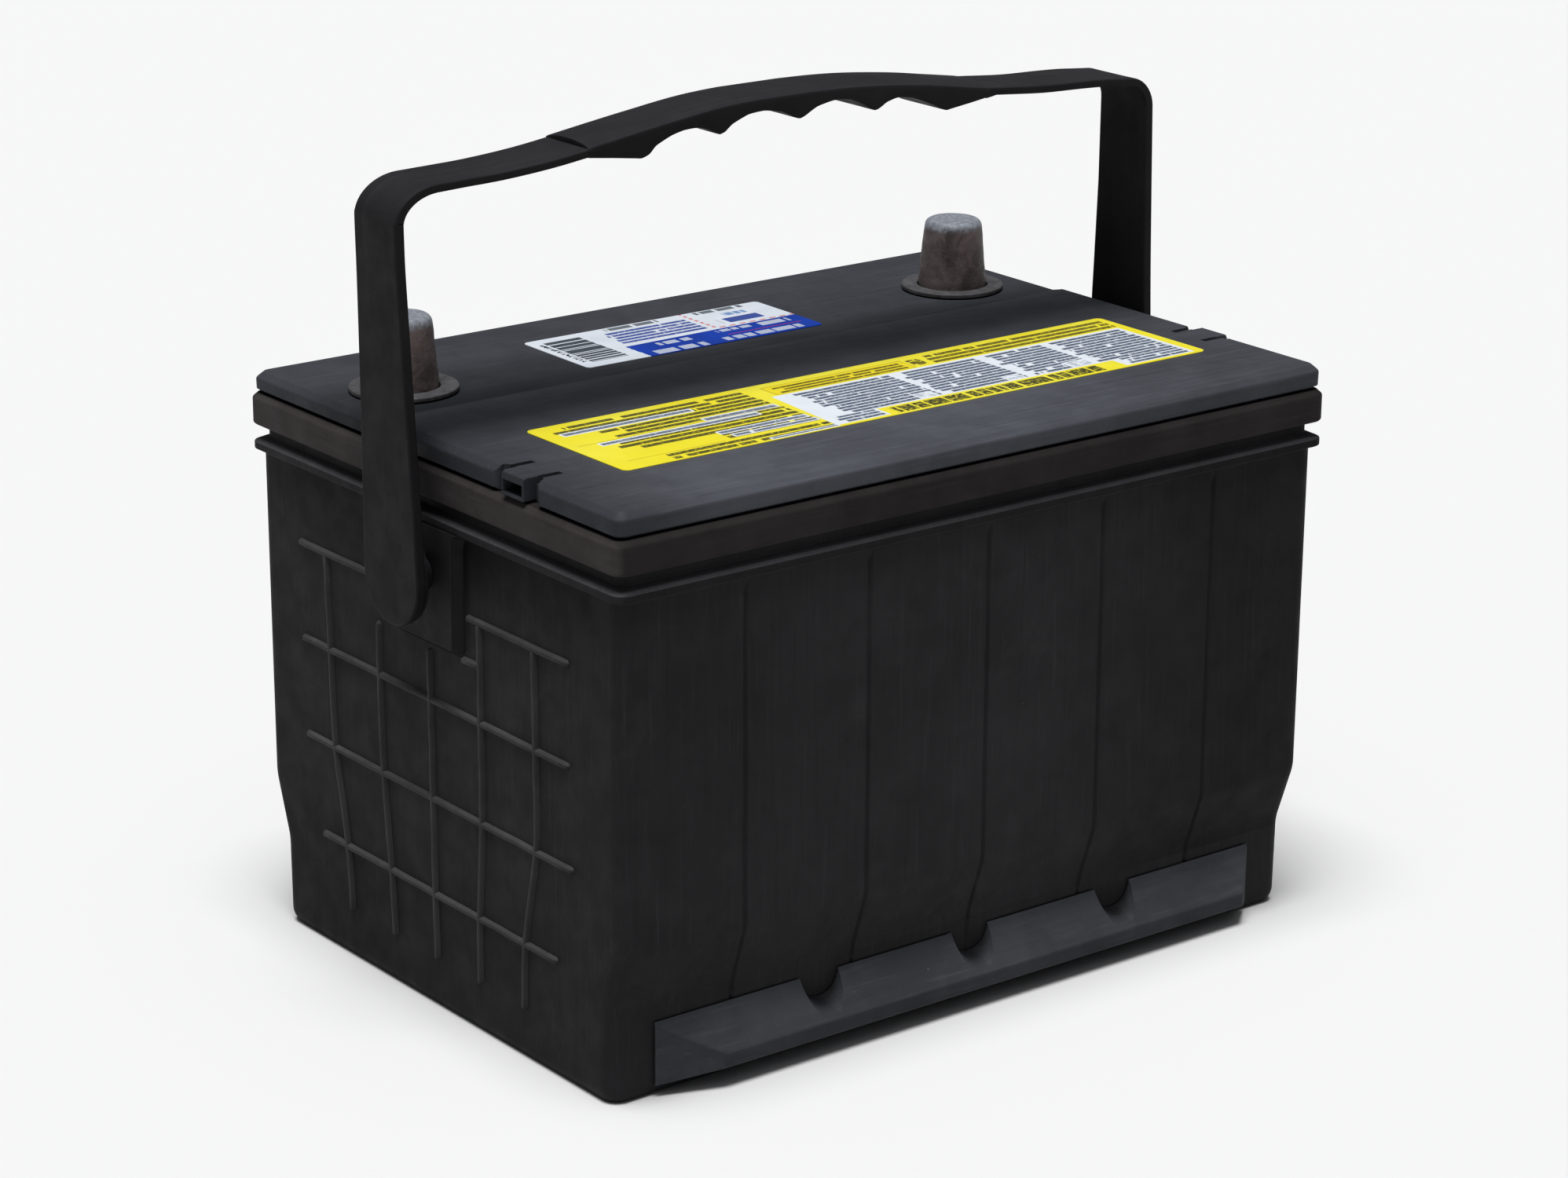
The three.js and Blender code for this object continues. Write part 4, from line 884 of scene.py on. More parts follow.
for name, side in (("lug_left", -1), ("lug_right", 1)):
    ob = make(name, *lug_mesh(side), None)
    boolean(ob, [rod("x", 4.85, side * 110 if side > 0 else -125, 125 if side > 0 else -110, 0, PIVOT_Z)])
    ob.data.materials.clear()
    ob.data.materials.append(lug_mat)
    settle(ob, "battery", "case_plastic")

# ------------------------------------------------------------------ lid band
lid_levels = [
    (LID_Z0, FLANGE_HX - 0.5, FLANGE_HY - 0.5, 3.5, 0),
    (LID_Z0 + 0.5, FLANGE_HX, FLANGE_HY, 3.8, 0.3),
    (LID_Z1 - 1.5, FLANGE_HX, FLANGE_HY, 3.8, 0.5),
    (LID_Z1 - 0.15, FLANGE_HX - 1.35, FLANGE_HY - 1.35, 3.0, 0.2),
    (LID_Z1, FLANGE_HX - 2.6, FLANGE_HY - 2.6, 2.2, 0),
]
lid_ob = make("lid_band", *slab(eased(lid_levels, 4, 0.25), (), None, 8), None)
cutters = []
for i in range(6):
    x0 = -INNER_HX if i == 0 else (i - 3) * 40.0 + 1.0
    x1 = INNER_HX if i == 5 else (i - 2) * 40.0 - 1.0
    cutters.append(block(x0, x1, -INNER_HY, INNER_HY, LID_Z0 - 1, LID_Z1 - LID_PLATE_T))
    cutters.append(rod("z", 8.5, LID_Z0, LID_Z1 + 1, (x0 + x1) / 2, -35.0, 32))
for x in (POST_POS_X, POST_NEG_X):
    cutters.append(rod("z", SLEEVE_R + 0.3, LID_Z0 - 2, LID_Z1 + 1, x, POST_Y, 40))
boolean(lid_ob, cutters)
lid_ob.data.materials.clear()
lid_ob.data.materials.append(lid_mat)
settle(lid_ob, "battery", "lid_plastic", ("lid",))

# ------------------------------------------------------------------ vent cover
def cover_ring(z, hx, hy, r, seg=8):
    """One ring of the cover, with stations along Y so that the two levels can be formed."""
    ys = []
    for i in range(seg + 1):
        a = math.radians(90 * i / seg)
        ys.append((-hy + r * (1 - math.sin(a)) if False else -hy + r * (1 - math.cos(a)), hx - r + r * math.sin(a)))
    flat = [-hy + r + 0.3, 0.0, 17.0, STEP_Y - 1.2, STEP_Y - 0.4, STEP_Y + 0.4, STEP_Y + 1.2, STEP_Y + STEP_RUN / 2, STEP_Y + STEP_RUN - 1.2, STEP_Y + STEP_RUN - 0.4, STEP_Y + STEP_RUN + 0.4, STEP_Y + STEP_RUN + 1.2, 28.0, 55.0, hy - r - 0.3]
    for y in flat:
        ys.append((y, hx))
    for i in range(seg + 1):
        a = math.radians(90 * i / seg)
        ys.append((hy - r + r * math.sin(a), hx - r + r * math.cos(a)))
    return ys


def level_drop(y):
    t = (y - STEP_Y) / STEP_RUN
    t = min(max(t, 0.0), 1.0)
    e = 0.12  # short blends at the ramp's two edges
    if t < e:
        t = t * t / (2 * e) + 0.0
    elif t > 1 - e:
        t = 1 - (1 - t) ** 2 / (2 * e) - 0.0
        t = min(t, 1.0)
    return (COVER_Z1 - COVER_Z2) * t


cover_levels = [
    (COVER_Z0, COVER_HX - 1.3, COVER_HY - 1.3, 2.4, 0),
    (COVER_Z0 + 0.5, COVER_HX - 1.25, COVER_HY - 1.25, 2.4, 0.12),
    (COVER_Z0 + 0.72, COVER_HX - 0.1, COVER_HY - 0.1, 3.0, 0.12),
    (COVER_Z1 - COVER_BEVEL, COVER_HX, COVER_HY, 3.1, 0.6),
    (COVER_Z1 - 0.1, COVER_HX - COVER_BEVEL + 0.1, COVER_HY - COVER_BEVEL + 0.1, 2.2, 0.4),
    (COVER_Z1, COVER_HX - COVER_BEVEL - 1.0, COVER_HY - COVER_BEVEL - 1.0, 1.6, 0),
]
verts, faces = [], []
crings = []
for z, hx, hy, r in eased(cover_levels, 4, 0.3):
    half = cover_ring(z, hx, hy, r)
    w = min(max((z - (COVER_Z0 + 3.2)) / 1.2, 0.0), 1.0)
    pts = [(x, y, z - level_drop(y) * w) for y, x in half] + [(-x, y, z - level_drop(y) * w) for y, x in reversed(half)]
    crings.append(pts)
n = len(crings[0])
verts = [p for r in crings for p in r]
for k in range(len(crings) - 1):
    for i in range(n):
        a, b = k * n + i, k * n + (i + 1) % n
        faces.append((a, b, b + n, a + n))
h = n // 2
for base in (0, (len(crings) - 1) * n):
    for i in range(h - 1):
        faces.append((base + i, base + i + 1, base + n - 2 - i, base + n - 1 - i))
cover_ob = make("cover_plate", verts, faces, None)

cutters = [block(-106, 106, -78, 24, COVER_Z0 - 1, 158.6), block(-74, 72, 23, 78, COVER_Z0 - 1, 158.0)]
for x in (POST_POS_X, POST_NEG_X):
    cutters.append(rod("z", SLEEVE_R + 0.3, COVER_Z0 - 1, COVER_Z1 + 1, x, POST_Y, 48))
for s in (-1, 1):
    for t in (-1, 1):
        y0 = VENT_Y + (TAB_HALF if t > 0 else -TAB_HALF - SLOT_W)
        y1 = y0 + SLOT_W
        far = y1 if t > 0 else y0   # the slot's outer side, with a rounded mouth
        near = y0 if t > 0 else y1
        mouth = []
        for k in range(7):
            a = math.radians(90 * k / 6)
            mouth.append((TAB_OUT_X - 1.0 - 2.2 + 2.2 * math.sin(a) + 0.0, far + t * 2.2 * (1 - math.cos(a))))
        plan = [(SLOT_BACK_X + 0.8, near), (SLOT_BACK_X, near + t * 0.8), (SLOT_BACK_X, far - t * 0.8), (SLOT_BACK_X + 0.8, far)] + mouth + [(124.0, far + t * 2.2), (124.0, near)]
        cutters.append(cut_prism([(s * x, y) for x, y in plan], 150, 166, lambda u, v, w: (u, v, w)))
        # the groove that fades inward from the slot
        g = []
        for x, d in ((SLOT_BACK_X + 0.6, 2.2), (SLOT_GROOVE_X + 1.2, 1.15), (SLOT_GROOVE_X + 0.2, 0.95)):
            g.append([(s * x, near + t * 0.05, COVER_Z1 - d), (s * x, near + t * 2.3, COVER_Z1 - d), (s * x, near + t * 2.3, COVER_Z1 + 1.5), (s * x, near + t * 0.05, COVER_Z1 + 1.5)])
        cutters.append(make("cutter", *loft(g), None))
    cutters.append(block(min(s * 100, s * 125), max(s * 100, s * 125), VENT_Y - PORT_HALF_Y, VENT_Y + PORT_HALF_Y, PORT_Z0, PORT_Z1))
    cutters.append(block(min(s * 115.9, s * 125), max(s * 115.9, s * 125), VENT_Y - TAB_HALF - 0.3, VENT_Y + TAB_HALF + 0.3, 150, 166))
boolean(cover_ob, cutters)
cover_ob.data.materials.clear()
cover_ob.data.materials.append(cover_mat)
settle(cover_ob, "battery", "cover_plastic", ("vent_cover",))

# the two vent tabs, each with its rimmed port
for name, s in (("vent_tab_left", -1), ("vent_tab_right", 1)):
    prof = [(COVER_Z0 + 0.3, TAB_OUT_X - 0.2), (COVER_Z0 + 0.5, TAB_OUT_X), (COVER_Z1 - 1.0, TAB_OUT_X), (COVER_Z1 - 0.35, TAB_OUT_X - 0.3), (COVER_Z1 - 0.02, TAB_OUT_X - 1.0)]
    rings_t = []
    for y, k in ((VENT_Y - TAB_HALF, 0.35), (VENT_Y - TAB_HALF + 0.12, 0.12), (VENT_Y - TAB_HALF + 0.4, 0.0), (VENT_Y + TAB_HALF - 0.4, 0.0), (VENT_Y + TAB_HALF - 0.12, 0.12), (VENT_Y + TAB_HALF, 0.35)):
        ring = [(s * 111.5, y, COVER_Z0 + 0.3 + k)]
        for z, x in prof:
            ring.append((s * (x - k), y, z - k if z > COVER_Z0 + 3 else z + k))
        ring.append((s * 111.5, y, COVER_Z1 - 0.02 - k))
        rings_t.append(ring)
    tab = make(name, *loft(rings_t), None)
    boolean(tab, [block(min(s * 100, s * 125), max(s * 100, s * 125), VENT_Y - PORT_HALF_Y, VENT_Y + PORT_HALF_Y, PORT_Z0, PORT_Z1)])
    tab.data.materials.clear()
    tab.data.materials.append(cover_mat)
    settle(tab, "battery", "cover_plastic")

# ------------------------------------------------------------------ posts and collars
def cast(a, z):
    return 0.05 * math.sin(3 * a + z * 0.3) + 0.04 * math.sin(5 * a + 1.3 + z * 0.9) + 0.03 * math.sin(9 * a + 2.1 - z * 0.5)


def post_profile(r0, r1, r2):
    chain = [(0, 0, 147.9, 0), (r0 - 0.6, 0, 147.9, 0.2), (r0 - 0.25, 0, 160.0, 0.5), (r0 - 0.06, 0, 162.6, 0.5), (r1 - 0.05, 0, 179.4, 0), (r1 - 0.75, 0, 181.15, 0), (r2 - 0.1, 0, 181.6, 0), (0, 0, 181.6, 0)]
    pts = [(c[0], c[2]) for c in chain[:4]]
    for k in range(1, 8):  # flank, finely
        t = k / 8
        pts.append((r0 - 0.06 + (r1 - r0) * t, 162.6 + (179.1 - 162.6) * t))
    for k in range(9):  # rounded shoulder
        a = math.radians(8 + 82 * k / 8)
        e = r1 - r2
        pts.append((r2 - 0.15 + e * math.cos(a), 179.2 + 2.4 * math.sin(a)))
    pts += [(r2 * 0.6, 181.5), (r2 * 0.25, 181.45), (0, 181.44)]
    return pts


turned("post_pos_cast", post_profile(10.1, 8.6, 6.8), POST_POS_X, POST_Y, post_mat, wobble=cast, slot="post_lead", stands_for=("post_pos",), angle=60, weighted=False)
turned("post_neg_cast", post_profile(9.65, 8.2, 6.4), POST_NEG_X, POST_Y, post_mat, wobble=cast, slot="post_lead", stands_for=("post_neg",), angle=60, weighted=False)


def collar(name, x, r_in, node):
    prof = [(r_in, SLEEVE_Z0), (SLEEVE_R, SLEEVE_Z0), (SLEEVE_R, COLLAR_Z0 - 0.35), (SLEEVE_R + 0.1, COLLAR_Z0), (COLLAR_R - 0.25, COLLAR_Z0), (COLLAR_R, COLLAR_Z0 + 0.25)]
    for k in range(6):
        a = math.radians(90 * k / 5)
        prof.append((COLLAR_R - 0.45 + 0.45 * math.cos(a), COLLAR_Z1 - 0.45 + 0.42 * math.sin(a)))
    prof += [(r_in + 1.9, COLLAR_Z1 - 0.06), (r_in + 1.2, COLLAR_Z1 - 0.02), (r_in + 0.3, COLLAR_Z1 - 0.02), (r_in, COLLAR_Z1 - 0.2), (r_in, SLEEVE_Z0)]
    turned(name, prof, x, POST_Y, collar_mat, wobble=lambda a, z: 0.04 * math.sin(4 * a + z) + 0.03 * math.sin(7 * a + 1), slot="collar_lead", stands_for=(node,), angle=40, weighted=False)


collar("collar_pos_cast", POST_POS_X, 10.4, "collar_pos")
collar("collar_neg_cast", POST_NEG_X, 9.95, "collar_neg")

# ------------------------------------------------------------------ hold-down rails
def rail_mesh(side):
    def section(x, out, t_end=0.0):
        t = (out - RAIL_WALL_Y) / (RAIL_OUT_Y - RAIL_WALL_Y)
        z1 = RAIL_Z2 - 0.4 - (RAIL_Z2 - 0.4 - RAIL_Z1) * t
        z0 = RAIL_FOOT_Z + (RAIL_Z0 - RAIL_FOOT_Z) * t
        chain = [(RAIL_WALL_Y, RAIL_FOOT_Z + 1, 0, 0), (RAIL_WALL_Y, RAIL_FOOT_Z, 0, 0.25), (out, z0, 0, 0.55), (out, max(z1, z0 + 0.6), 0, 0.8), (RAIL_WALL_Y, RAIL_Z2, 0, 0.35), (RAIL_WALL_Y, RAIL_Z2 - 1, 0, 0)]
        ring = [(a, b) for a, b, _ in eased(chain, 4, 0.2)]
        return [(x, -y, z) for y, z in ring]
    stations = []
    for x, out in ((-105.0, RAIL_WALL_Y + 0.5), (-104.6, RAIL_WALL_Y + 0.75), (-88.1, RAIL_OUT_Y - 0.33), (-87.3, RAIL_OUT_Y - 0.08), (-86.5, RAIL_OUT_Y), (0.0, RAIL_OUT_Y), (95.4, RAIL_OUT_Y), (96.2, RAIL_OUT_Y - 0.15), (96.8, RAIL_OUT_Y - 0.65), (103.1, RAIL_WALL_Y + 0.8), (103.5, RAIL_WALL_Y + 0.5)):
        stations.append(section(x, out))
    v, f = loft(stations)
    if side < 0:
        v = [(-x, -y, z) for x, y, z in v]
    return v, f


def scoop(x, side):
    r, seg = 6.4, 40
    rr = []
    for y, z in ((-RAIL_WALL_Y + 6, 14.4 + 6 * 0.58 + r), (-RAIL_WALL_Y - 9, 14.4 - 9 * 0.58 + r)):
        rr.append([(x + r * math.cos(2 * math.pi * i / seg), y, z + r * math.sin(2 * math.pi * i / seg)) for i in range(seg)])
    v, f = loft(rr)
    if side < 0:
        v = [(-a, -b, c) for a, b, c in v]
    return make("cutter", v, f, None)


for name, side, node in (("rail_front_moulding", 1, "rail_front"), ("rail_rear_moulding", -1, "rail_rear")):
    ob = make(name, *rail_mesh(side), None)
    boolean(ob, [scoop(x, side) for x in NOTCHES])
    bevel(ob, 0.5, 3, 40)
    ob.data.materials.clear()
    ob.data.materials.append(rail_mat)
    settle(ob, "battery", "rail_plastic", (node,))

# ------------------------------------------------------------------ handle
HALF_TOP = 9.8
WIDTHS = [(125, 12.8), (152, 11.95), (173, 11.05), (193, 10.3), (215, HALF_TOP), (300, HALF_TOP)]


def width_at(z):
    for (z0, h0), (z1, h1) in zip(WIDTHS, WIDTHS[1:]):
        if z <= z1:
            return h0 + (h1 - h0) * (max(z, z0) - z0) / (z1 - z0)
    return HALF_TOP


def smooth_chain(pts, n):
    """Catmull-Rom through the points, n steps a span."""
    out = []
    ext = [tuple(2 * a - b for a, b in zip(pts[0], pts[1]))] + list(pts) + [tuple(2 * a - b for a, b in zip(pts[-1], pts[-2]))]
    for p0, p1, p2, p3 in zip(ext, ext[1:], ext[2:], ext[3:]):
        for k in range(n):
            t = k / n
            out.append(tuple(0.5 * (2 * b + (c - a) * t + (2 * a - 5 * b + 4 * c - d) * t * t + (3 * b - a - 3 * c + d) * t ** 3) for a, b, c, d in zip(p0, p1, p2, p3)))
    out.append(tuple(pts[-1]))
    return out


def corner_stations(cx, cz, r, a0, a1, n, t0, t1, rx=None):
    out = []
    for i in range(n + 1):
        k = i / n
        a = math.radians(a0 + (a1 - a0) * k)
        out.append((cx + (rx or r) * math.cos(a), cz + r * math.sin(a), HALF_TOP, t0 + (t1 - t0) * k))
    return out


def strap_section(half, t):
    """Closed section: (distance inward, y). Long flat outer face with a soft rim."""
    c = 0.55
    pts = []

    def arc(d, y, r, a0, a1, seg=4):
        for k in range(seg + 1):
            a = math.radians(a0 + (a1 - a0) * k / seg)
            pts.append((d - r * math.sin(a), y + r * math.cos(a)))

    arc(c, half - c, c, 90, 0)        # outer +y edge
    arc(t - c, half - c, c, 0, -90)   # inner +y edge
    arc(t - c, -half + c, c, -90, -180)
    arc(c, -half + c, c, 180, 90)
    out = []
    for i, p in enumerate(pts):
        out.append(p)
    # holding lines just inside the rims on both broad faces
    out = out[:10] + [(t, half - c - 0.6), (t, -half + c + 0.6)] + out[10:] + [(0.0, -half + c + 0.6), (0.04, -half * 0.5), (0.04, half * 0.5), (0.0, half - c - 0.6)]
    return out


def strap_mesh(chain):
    rings_s = []
    m = len(chain)
    for k, (x, z, half, t) in enumerate(chain):
        a, b = chain[max(k - 1, 0)], chain[min(k + 1, m - 1)]
        dx, dz = b[0] - a[0], b[1] - a[1]
        l = math.hypot(dx, dz)
        nx, nz = -dz / l, dx / l      # outward normal for a chain that runs over the top from -X to +X
        rings_s.append([(x - nx * d, y, z - nz * d) for d, y in strap_section(half, t)])
    return loft(rings_s)


left_arm = [(-130.9, 125), (-131.1, 138), (-131.4, 152), (-131.9, 173), (-132.5, 196)]
left_arm = [(x, z, width_at(z), 2.9) for x, z in left_arm]
left_corner = corner_stations(-119.4, 219.9, 10.1, 176, 92, 12, 2.9, 2.4, rx=13.7)
top_left = [(-112, 230.15, HALF_TOP, 2.3), (-99.4, 230.5, HALF_TOP, 2.3), (-84.5, 231.6, HALF_TOP, 2.3), (-70, 233.4, HALF_TOP, 2.3)]
left_chain = smooth_chain(left_arm + [(-132.85, 208, HALF_TOP + 0.05, 2.9), (-133.0, 214.5, HALF_TOP, 2.9)] + left_corner, 3) + smooth_chain(top_left, 4)
top_right = [(60, 233.4, HALF_TOP, 2.3), (68, 232.7, HALF_TOP, 2.3), (82, 231.5, HALF_TOP, 2.3), (96, 231.0, HALF_TOP, 2.3), (104, 230.6, HALF_TOP, 2.3), (110.5, 230.0, HALF_TOP, 2.35)]
right_corner = corner_stations(114.3, 220.3, 9.35, 83, 2, 10, 2.4, 2.9)
right_arm = [(x, z, width_at(z), 2.9) for x, z in [(123.9, 196), (123.85, 173), (123.9, 158), (124.4, 145), (125.2, 133), (125.35, 125)]]
right_chain = smooth_chain(top_right, 4)[:-1] + smooth_chain(right_corner, 2) + smooth_chain(right_arm, 4)


def disc_x(r, x0, x1, y, z, ease, n=56, dome=False):
    """A round pad along X with eased rims."""
    pts = []
    s = 1 if x1 > x0 else -1
    for x, rr in ((x0, r - ease), (x0 + s * ease * 0.3, r - ease * 0.3), (x0 + s * ease, r), (x1 - s * ease, r), (x1 - s * ease * 0.3, r - ease * 0.3), (x1, r - ease)):
        pts.append([(x, y + rr * math.cos(2 * math.pi * i / n), z + rr * math.sin(2 * math.pi * i / n)) for i in range(n)])
    return loft(pts)


def stadium_x(r, x0, x1, z0, z1, ease, n=36):
    """A flat pad along X: two half discs joined by straight sides."""
    pts = []
    s = 1 if x1 > x0 else -1
    for x, rr in ((x0, r - ease), (x0 + s * ease * 0.3, r - ease * 0.3), (x0 + s * ease, r), (x1 - s * ease, r), (x1 - s * ease * 0.3, r - ease * 0.3), (x1, r - ease)):
        low = [(x, rr * math.cos(math.pi + math.pi * i / n), z0 + rr * math.sin(math.pi + math.pi * i / n)) for i in range(n + 1)]
        high = [(x, rr * math.cos(math.pi * i / n), z1 + rr * math.sin(math.pi * i / n)) for i in range(n + 1)]
        pts.append(low + high)
    return loft(pts)


def end_mesh(chain_end, x_out, x_in):
    """The arm's round end: the strap's flat width closed by a half disc."""
    rings_e = []
    r = 12.8
    s = 1 if x_in > x_out else -1
    e = 0.55
    n = 40
    for x, rr in ((x_out, r - e), (x_out + s * e * 0.3, r - e * 0.3), (x_out + s * e, r), (x_in - s * e, r), (x_in - s * e * 0.3, r - e * 0.3), (x_in, r - e)):
        ring = [(x, rr * math.cos(math.pi + math.pi * i / n), PIVOT_Z + rr * math.sin(math.pi + math.pi * i / n)) for i in range(n + 1)]
        ring += [(x, rr - 0.02, PIVOT_Z + 2.0), (x, -rr + 0.02, PIVOT_Z + 2.0)]
        rings_e.append(ring)
    return loft(rings_e)


make("handle_strap_left", *strap_mesh(left_chain), handle_mat, body="handle", slot="handle_plastic", stands_for=("handle",), angle=50)
make("handle_strap_right", *strap_mesh(right_chain), handle_mat, body="handle", slot="handle_plastic", angle=50)
make("handle_end_left", *end_mesh(None, -130.9, -128.0), handle_mat, body="handle", slot="handle_plastic", angle=50)
make("handle_end_right", *end_mesh(None, 125.35, 122.45), handle_mat, body="handle", slot="handle_plastic", angle=50)
make("handle_pad_left", *stadium_x(12.35, -128.4, -126.9, PIVOT_Z, PIVOT_Z + 3.5, 0.3), handle_mat, body="handle", slot="handle_plastic", angle=50)
make("handle_pad_right", *stadium_x(12.35, 122.9, 121.3, PIVOT_Z, PIVOT_Z + 3.5, 0.3), handle_mat, body="handle", slot="handle_plastic", angle=50)
make("handle_pin_left", *disc_x(4.5, -127.6, -117.0, 0, PIVOT_Z, 0.5), handle_mat, body="handle", slot="handle_plastic", angle=50)
make("handle_pin_right", *disc_x(4.5, 122.0, 111.0, 0, PIVOT_Z, 0.5), handle_mat, body="handle", slot="handle_plastic", angle=50)

GRIP_TOP = [(-73.6, 234.45), (-60, 236.4), (-48.2, 238.0), (-31.7, 240.0), (-15, 240.8), (1.8, 240.7), (19.2, 240.0), (36.8, 238.2), (50, 236.2), (62, 234.3)]
GRIP_UNDER = [(-73.6, 230.5), (-65, 229.4), (-58.5, 228.5), (-56.2, 228.2), (-54, 229.0), (-52, 230.9), (-47, 233.0), (-42.5, 234.0), (-38, 234.1), (-34.5, 233.1), (-32.2, 231.9), (-30.8, 231.4), (-29.3, 231.9), (-27, 233.6), (-21.5, 235.6), (-16, 236.0), (-10, 234.9), (-5.6, 232.9), (-4.1, 232.4), (-2.6, 232.9), (1.5, 234.9), (7.5, 236.0), (13, 235.6), (18, 233.6), (20.6, 232.0), (21.9, 231.5), (23.3, 232.0), (25.5, 233.2), (29.5, 234.1), (34, 233.6), (38.5, 232.2), (43, 230.3), (46.0, 228.8), (47.2, 228.5), (48.6, 228.7), (56, 229.6), (62, 230.4)]


def spline_z(table):
    c = smooth_chain([(a, b) for a, b in table], 10)

    def at(x):
        for (x0, z0), (x1, z1) in zip(c, c[1:]):
            if x <= x1:
                return z0 + (z1 - z0) * (x - x0) / (x1 - x0)
        return c[-1][1]
    return at


top_z, under_z = spline_z(GRIP_TOP), spline_z(GRIP_UNDER)


def lerp_z(table):
    def at(x):
        for (x0, z0), (x1, z1) in zip(table, table[1:]):
            if x <= x1:
                return z0 + (z1 - z0) * (x - x0) / (x1 - x0)
        return table[-1][1]
    return at


under_lin = lerp_z(GRIP_UNDER)


def grip_ring(x, shrink=0.0):
    t, b = min(top_z(x), 240.72) - shrink, 0.5 * (under_z(x) + under_lin(x)) + shrink * 0.6
    w = 10.2 - shrink * 0.6
    d = min(2.1, 0.55 * (t - b))
    pts = []
    # crowned top from +y to -y
    for k in range(13):
        u = math.cos(math.pi * k / 12)
        y = (w - 0.35) * u
        pts.append((x, y, t - d * 0.62 * abs(u) ** 3.0))
    pts.insert(0, (x, w, t - d * 1.0))
    pts.append((x, -w, t - d * 1.0))
    e = 0.55
    pts += [(x, -w + 0.25, b + e + 0.5), (x, -w + 0.45, b + 0.25), (x, -w + 1.0, b), (x, -w + 3.0, b - 0.02), (x, 0.0, b), (x, w - 3.0, b - 0.02), (x, w - 1.0, b), (x, w - 0.45, b + 0.25), (x, w - 0.25, b + e + 0.5)]
    return pts[::-1]


xs = []
x = -73.6
while x < 62.0:
    xs.append(x)
    x += 0.75
xs.append(62.0)
rings_g = [grip_ring(-73.6, 0.35)] + [grip_ring(-73.6 + 0.12, 0.1)] + [grip_ring(x) for x in xs[1:-1]] + [grip_ring(62.0 - 0.12, 0.1), grip_ring(62.0, 0.35)]
make("handle_grip", *loft(rings_g), handle_mat, body="handle", slot="handle_plastic", angle=40)
# tapered fairing under the strap at the grip's right end
fair = []
for x, z0 in ((61.0, 230.25), (62.8, 230.5), (65.6, 230.95), (68.0, 231.3)):
    t = 233.6 - 0.09 * (x - 58) - 1.2
    fair.append([(x, 9.9, t), (x, -9.9, t), (x, -9.7, z0), (x, 9.7, z0)])
make("handle_fairing", *loft(fair), handle_mat, body="handle", slot="handle_plastic", angle=50)

# ------------------------------------------------------------------ labels
def film(name, cx, cy, hx, hy, r, z, deg, material, slot, node):
    a = math.radians(deg)

    def ring(inset, zz):
        base = outline(hx - inset, hy - inset, max(r - inset, 0.3), 8)
        return [(cx + u * math.cos(a) - v * math.sin(a), cy + u * math.sin(a) + v * math.cos(a), zz) for u, v in base]
    v, f = loft([ring(0.0, z + 0.04), ring(0.0, z + 0.2), ring(0.08, z + 0.27), ring(0.25, z + 0.29)])
    make(name, v, f, material, slot=slot, stands_for=(node,), angle=50)


film("label_main_film", 3.05, -35.0, 99.65, 22.6, 2.0, COVER_Z1, 0, label_main_material(), "label_yellow", "label_main")
film("label_small_film", -3.65, 48.7, 40.95, 16.3, 1.6, COVER_Z2, -0.4, label_small_material(), "label_blue", "label_small")

# ------------------------------------------------------------------ inner nodes keep their CAD shapes
inner = {
    "plates_pos": pasted_plate("plate_positive_paste", (0.045, 0.022, 0.014), (0.085, 0.045, 0.03)),
    "plates_neg": pasted_plate("plate_negative_paste", (0.11, 0.115, 0.125), (0.19, 0.195, 0.205)),
    "separator": separator_sheet("separator_sheet"),
    "link": inner_metal("strap_lead", (0.12, 0.122, 0.13), (0.24, 0.245, 0.26)),
    "riser": inner_metal("riser_lead", (0.12, 0.122, 0.13), (0.24, 0.245, 0.26)),
    "frit": frit_stone("frit_stone"),
}
for name, ob in NODES.items():
    for key, mat in inner.items():
        if name.startswith(key):
            if not ob.data.materials:
                ob.data.materials.append(mat)
            for s in ob.material_slots:
                s.material = mat

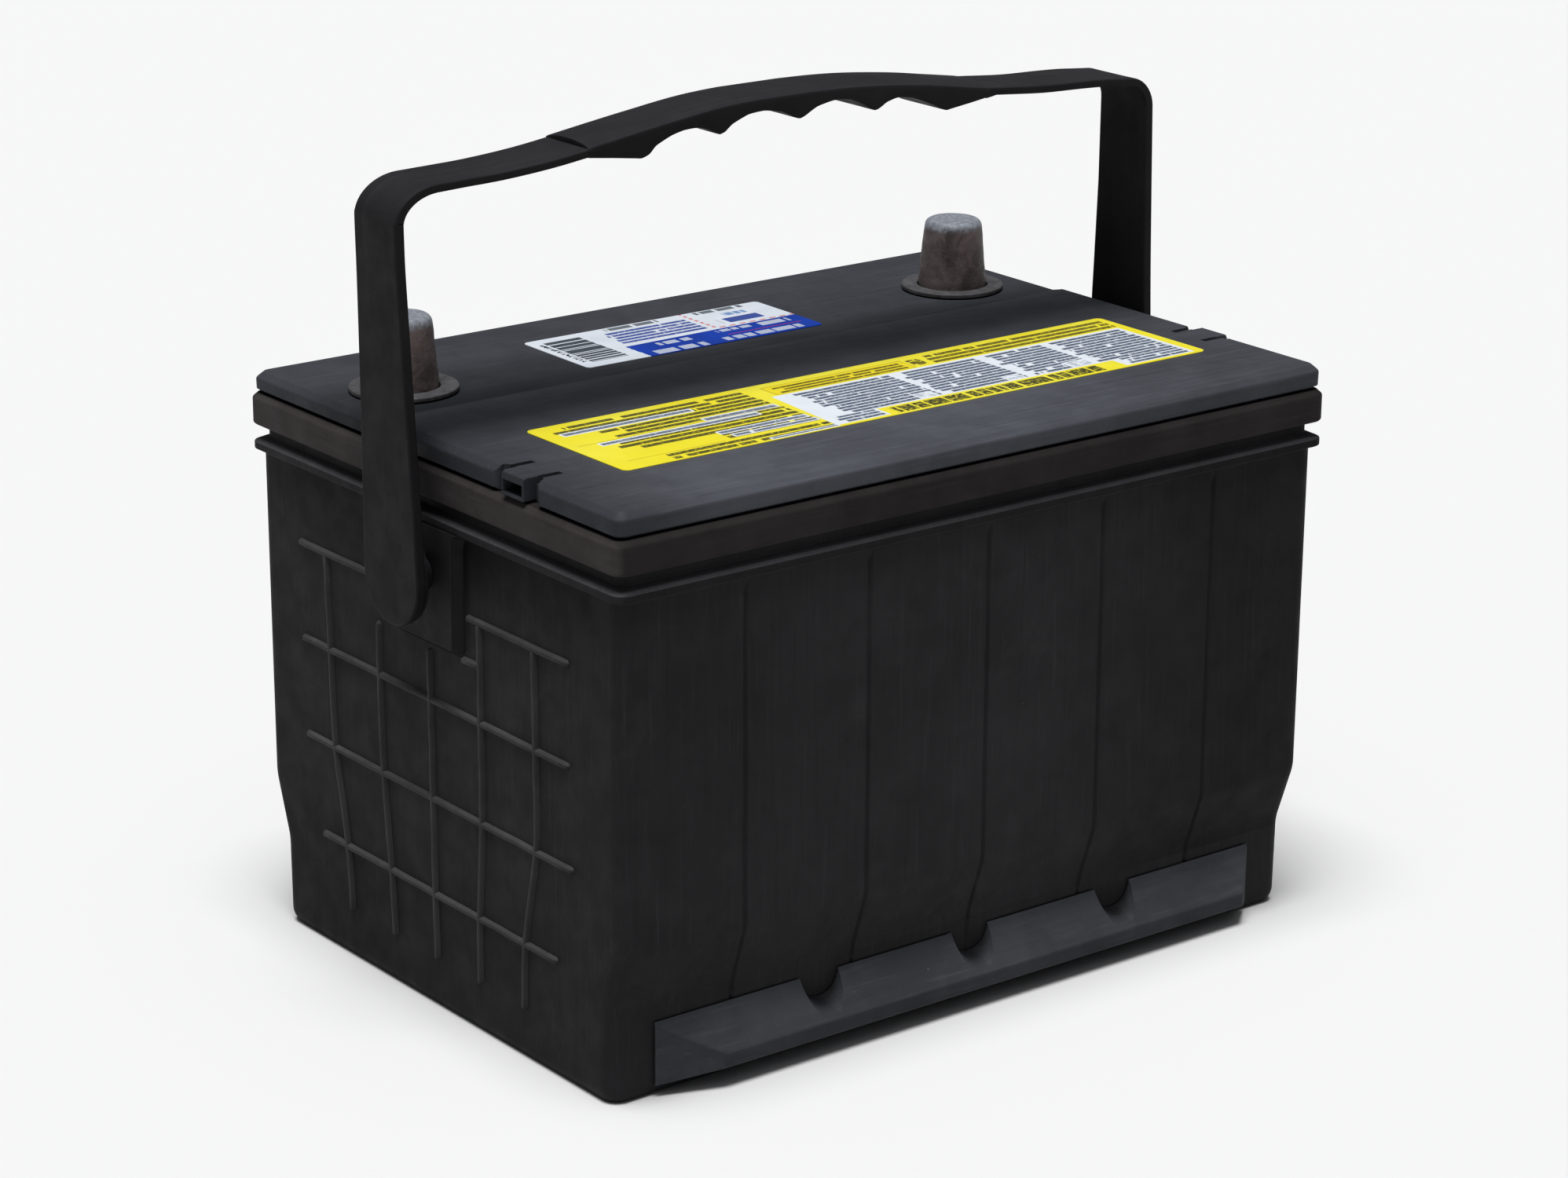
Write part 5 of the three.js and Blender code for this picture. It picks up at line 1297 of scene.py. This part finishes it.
# ------------------------------------------------------------------ stage, light, camera
floor_me = bpy.data.meshes.new("floor")
R = 14.0
floor_me.from_pydata([(-R, -R, -0.0002), (R, -R, -0.0002), (R, R, -0.0002), (-R, R, -0.0002)], [], [(0, 1, 2, 3)])
floor = bpy.data.objects.new("floor", floor_me)
bpy.context.scene.collection.objects.link(floor)
fm = Tree("pale_floor")
fm.finish((0.65, 0.65, 0.65, 1.0), 0.9, spec=0.0)
floor_me.materials.append(fm.mat)

world = bpy.data.worlds.new("studio")
bpy.context.scene.world = world
world.use_nodes = True
bg = world.node_tree.nodes.get("Background") or world.node_tree.nodes.new("ShaderNodeBackground")
bg.inputs[0].default_value = (0.93, 0.96, 1.0, 1.0)
bg.inputs[1].default_value = 0.09


def sun(name, azimuth, elevation, strength, angle, colour=(1, 1, 1)):
    """A broad soft light. Azimuth is measured like the view's: 0 shines from -Y, 90 from +X."""
    data = bpy.data.lights.new(name, "SUN")
    data.energy = strength
    data.angle = math.radians(angle)
    data.color = colour
    ob = bpy.data.objects.new(name, data)
    bpy.context.scene.collection.objects.link(ob)
    a, e = math.radians(azimuth), math.radians(elevation)
    back = Vector((math.sin(a) * math.cos(e), -math.cos(a) * math.cos(e), math.sin(e)))
    ob.rotation_euler = back.to_track_quat("Z", "Y").to_euler()
    return ob


sun("key", -50, 80, 3.98, 28, (1.0, 1.0, 1.0))
sun("fill", -35, 72, 0.34, 70, (1.0, 1.0, 1.0))

cam_data = bpy.data.cameras.new("camera")
cam_data.lens = 96.55
cam_data.sensor_width = 36.0
cam_data.sensor_fit = "HORIZONTAL"
cam_data.clip_start = 0.01
cam_data.clip_end = 50
cam = bpy.data.objects.new("camera", cam_data)
bpy.context.scene.collection.objects.link(cam)
az, el, roll = math.radians(37.64), math.radians(18.12), math.radians(0.33)
back = Vector((-math.sin(az) * math.cos(el), -math.cos(az) * math.cos(el), math.sin(el)))
fwd = -back
right = fwd.cross(Vector((0, 0, 1))).normalized()
up = right.cross(fwd)
right2 = right * math.cos(roll) + up * math.sin(roll)
up2 = -right * math.sin(roll) + up * math.cos(roll)
rot = Matrix((right2, up2, back)).transposed()
cam.matrix_world = Matrix.Translation((-0.68522, -0.88659, 0.46313)) @ rot.to_4x4()
bpy.context.scene.camera = cam
bpy.context.scene.view_settings.view_transform = "Standard"
bpy.context.scene.view_settings.look = "None"
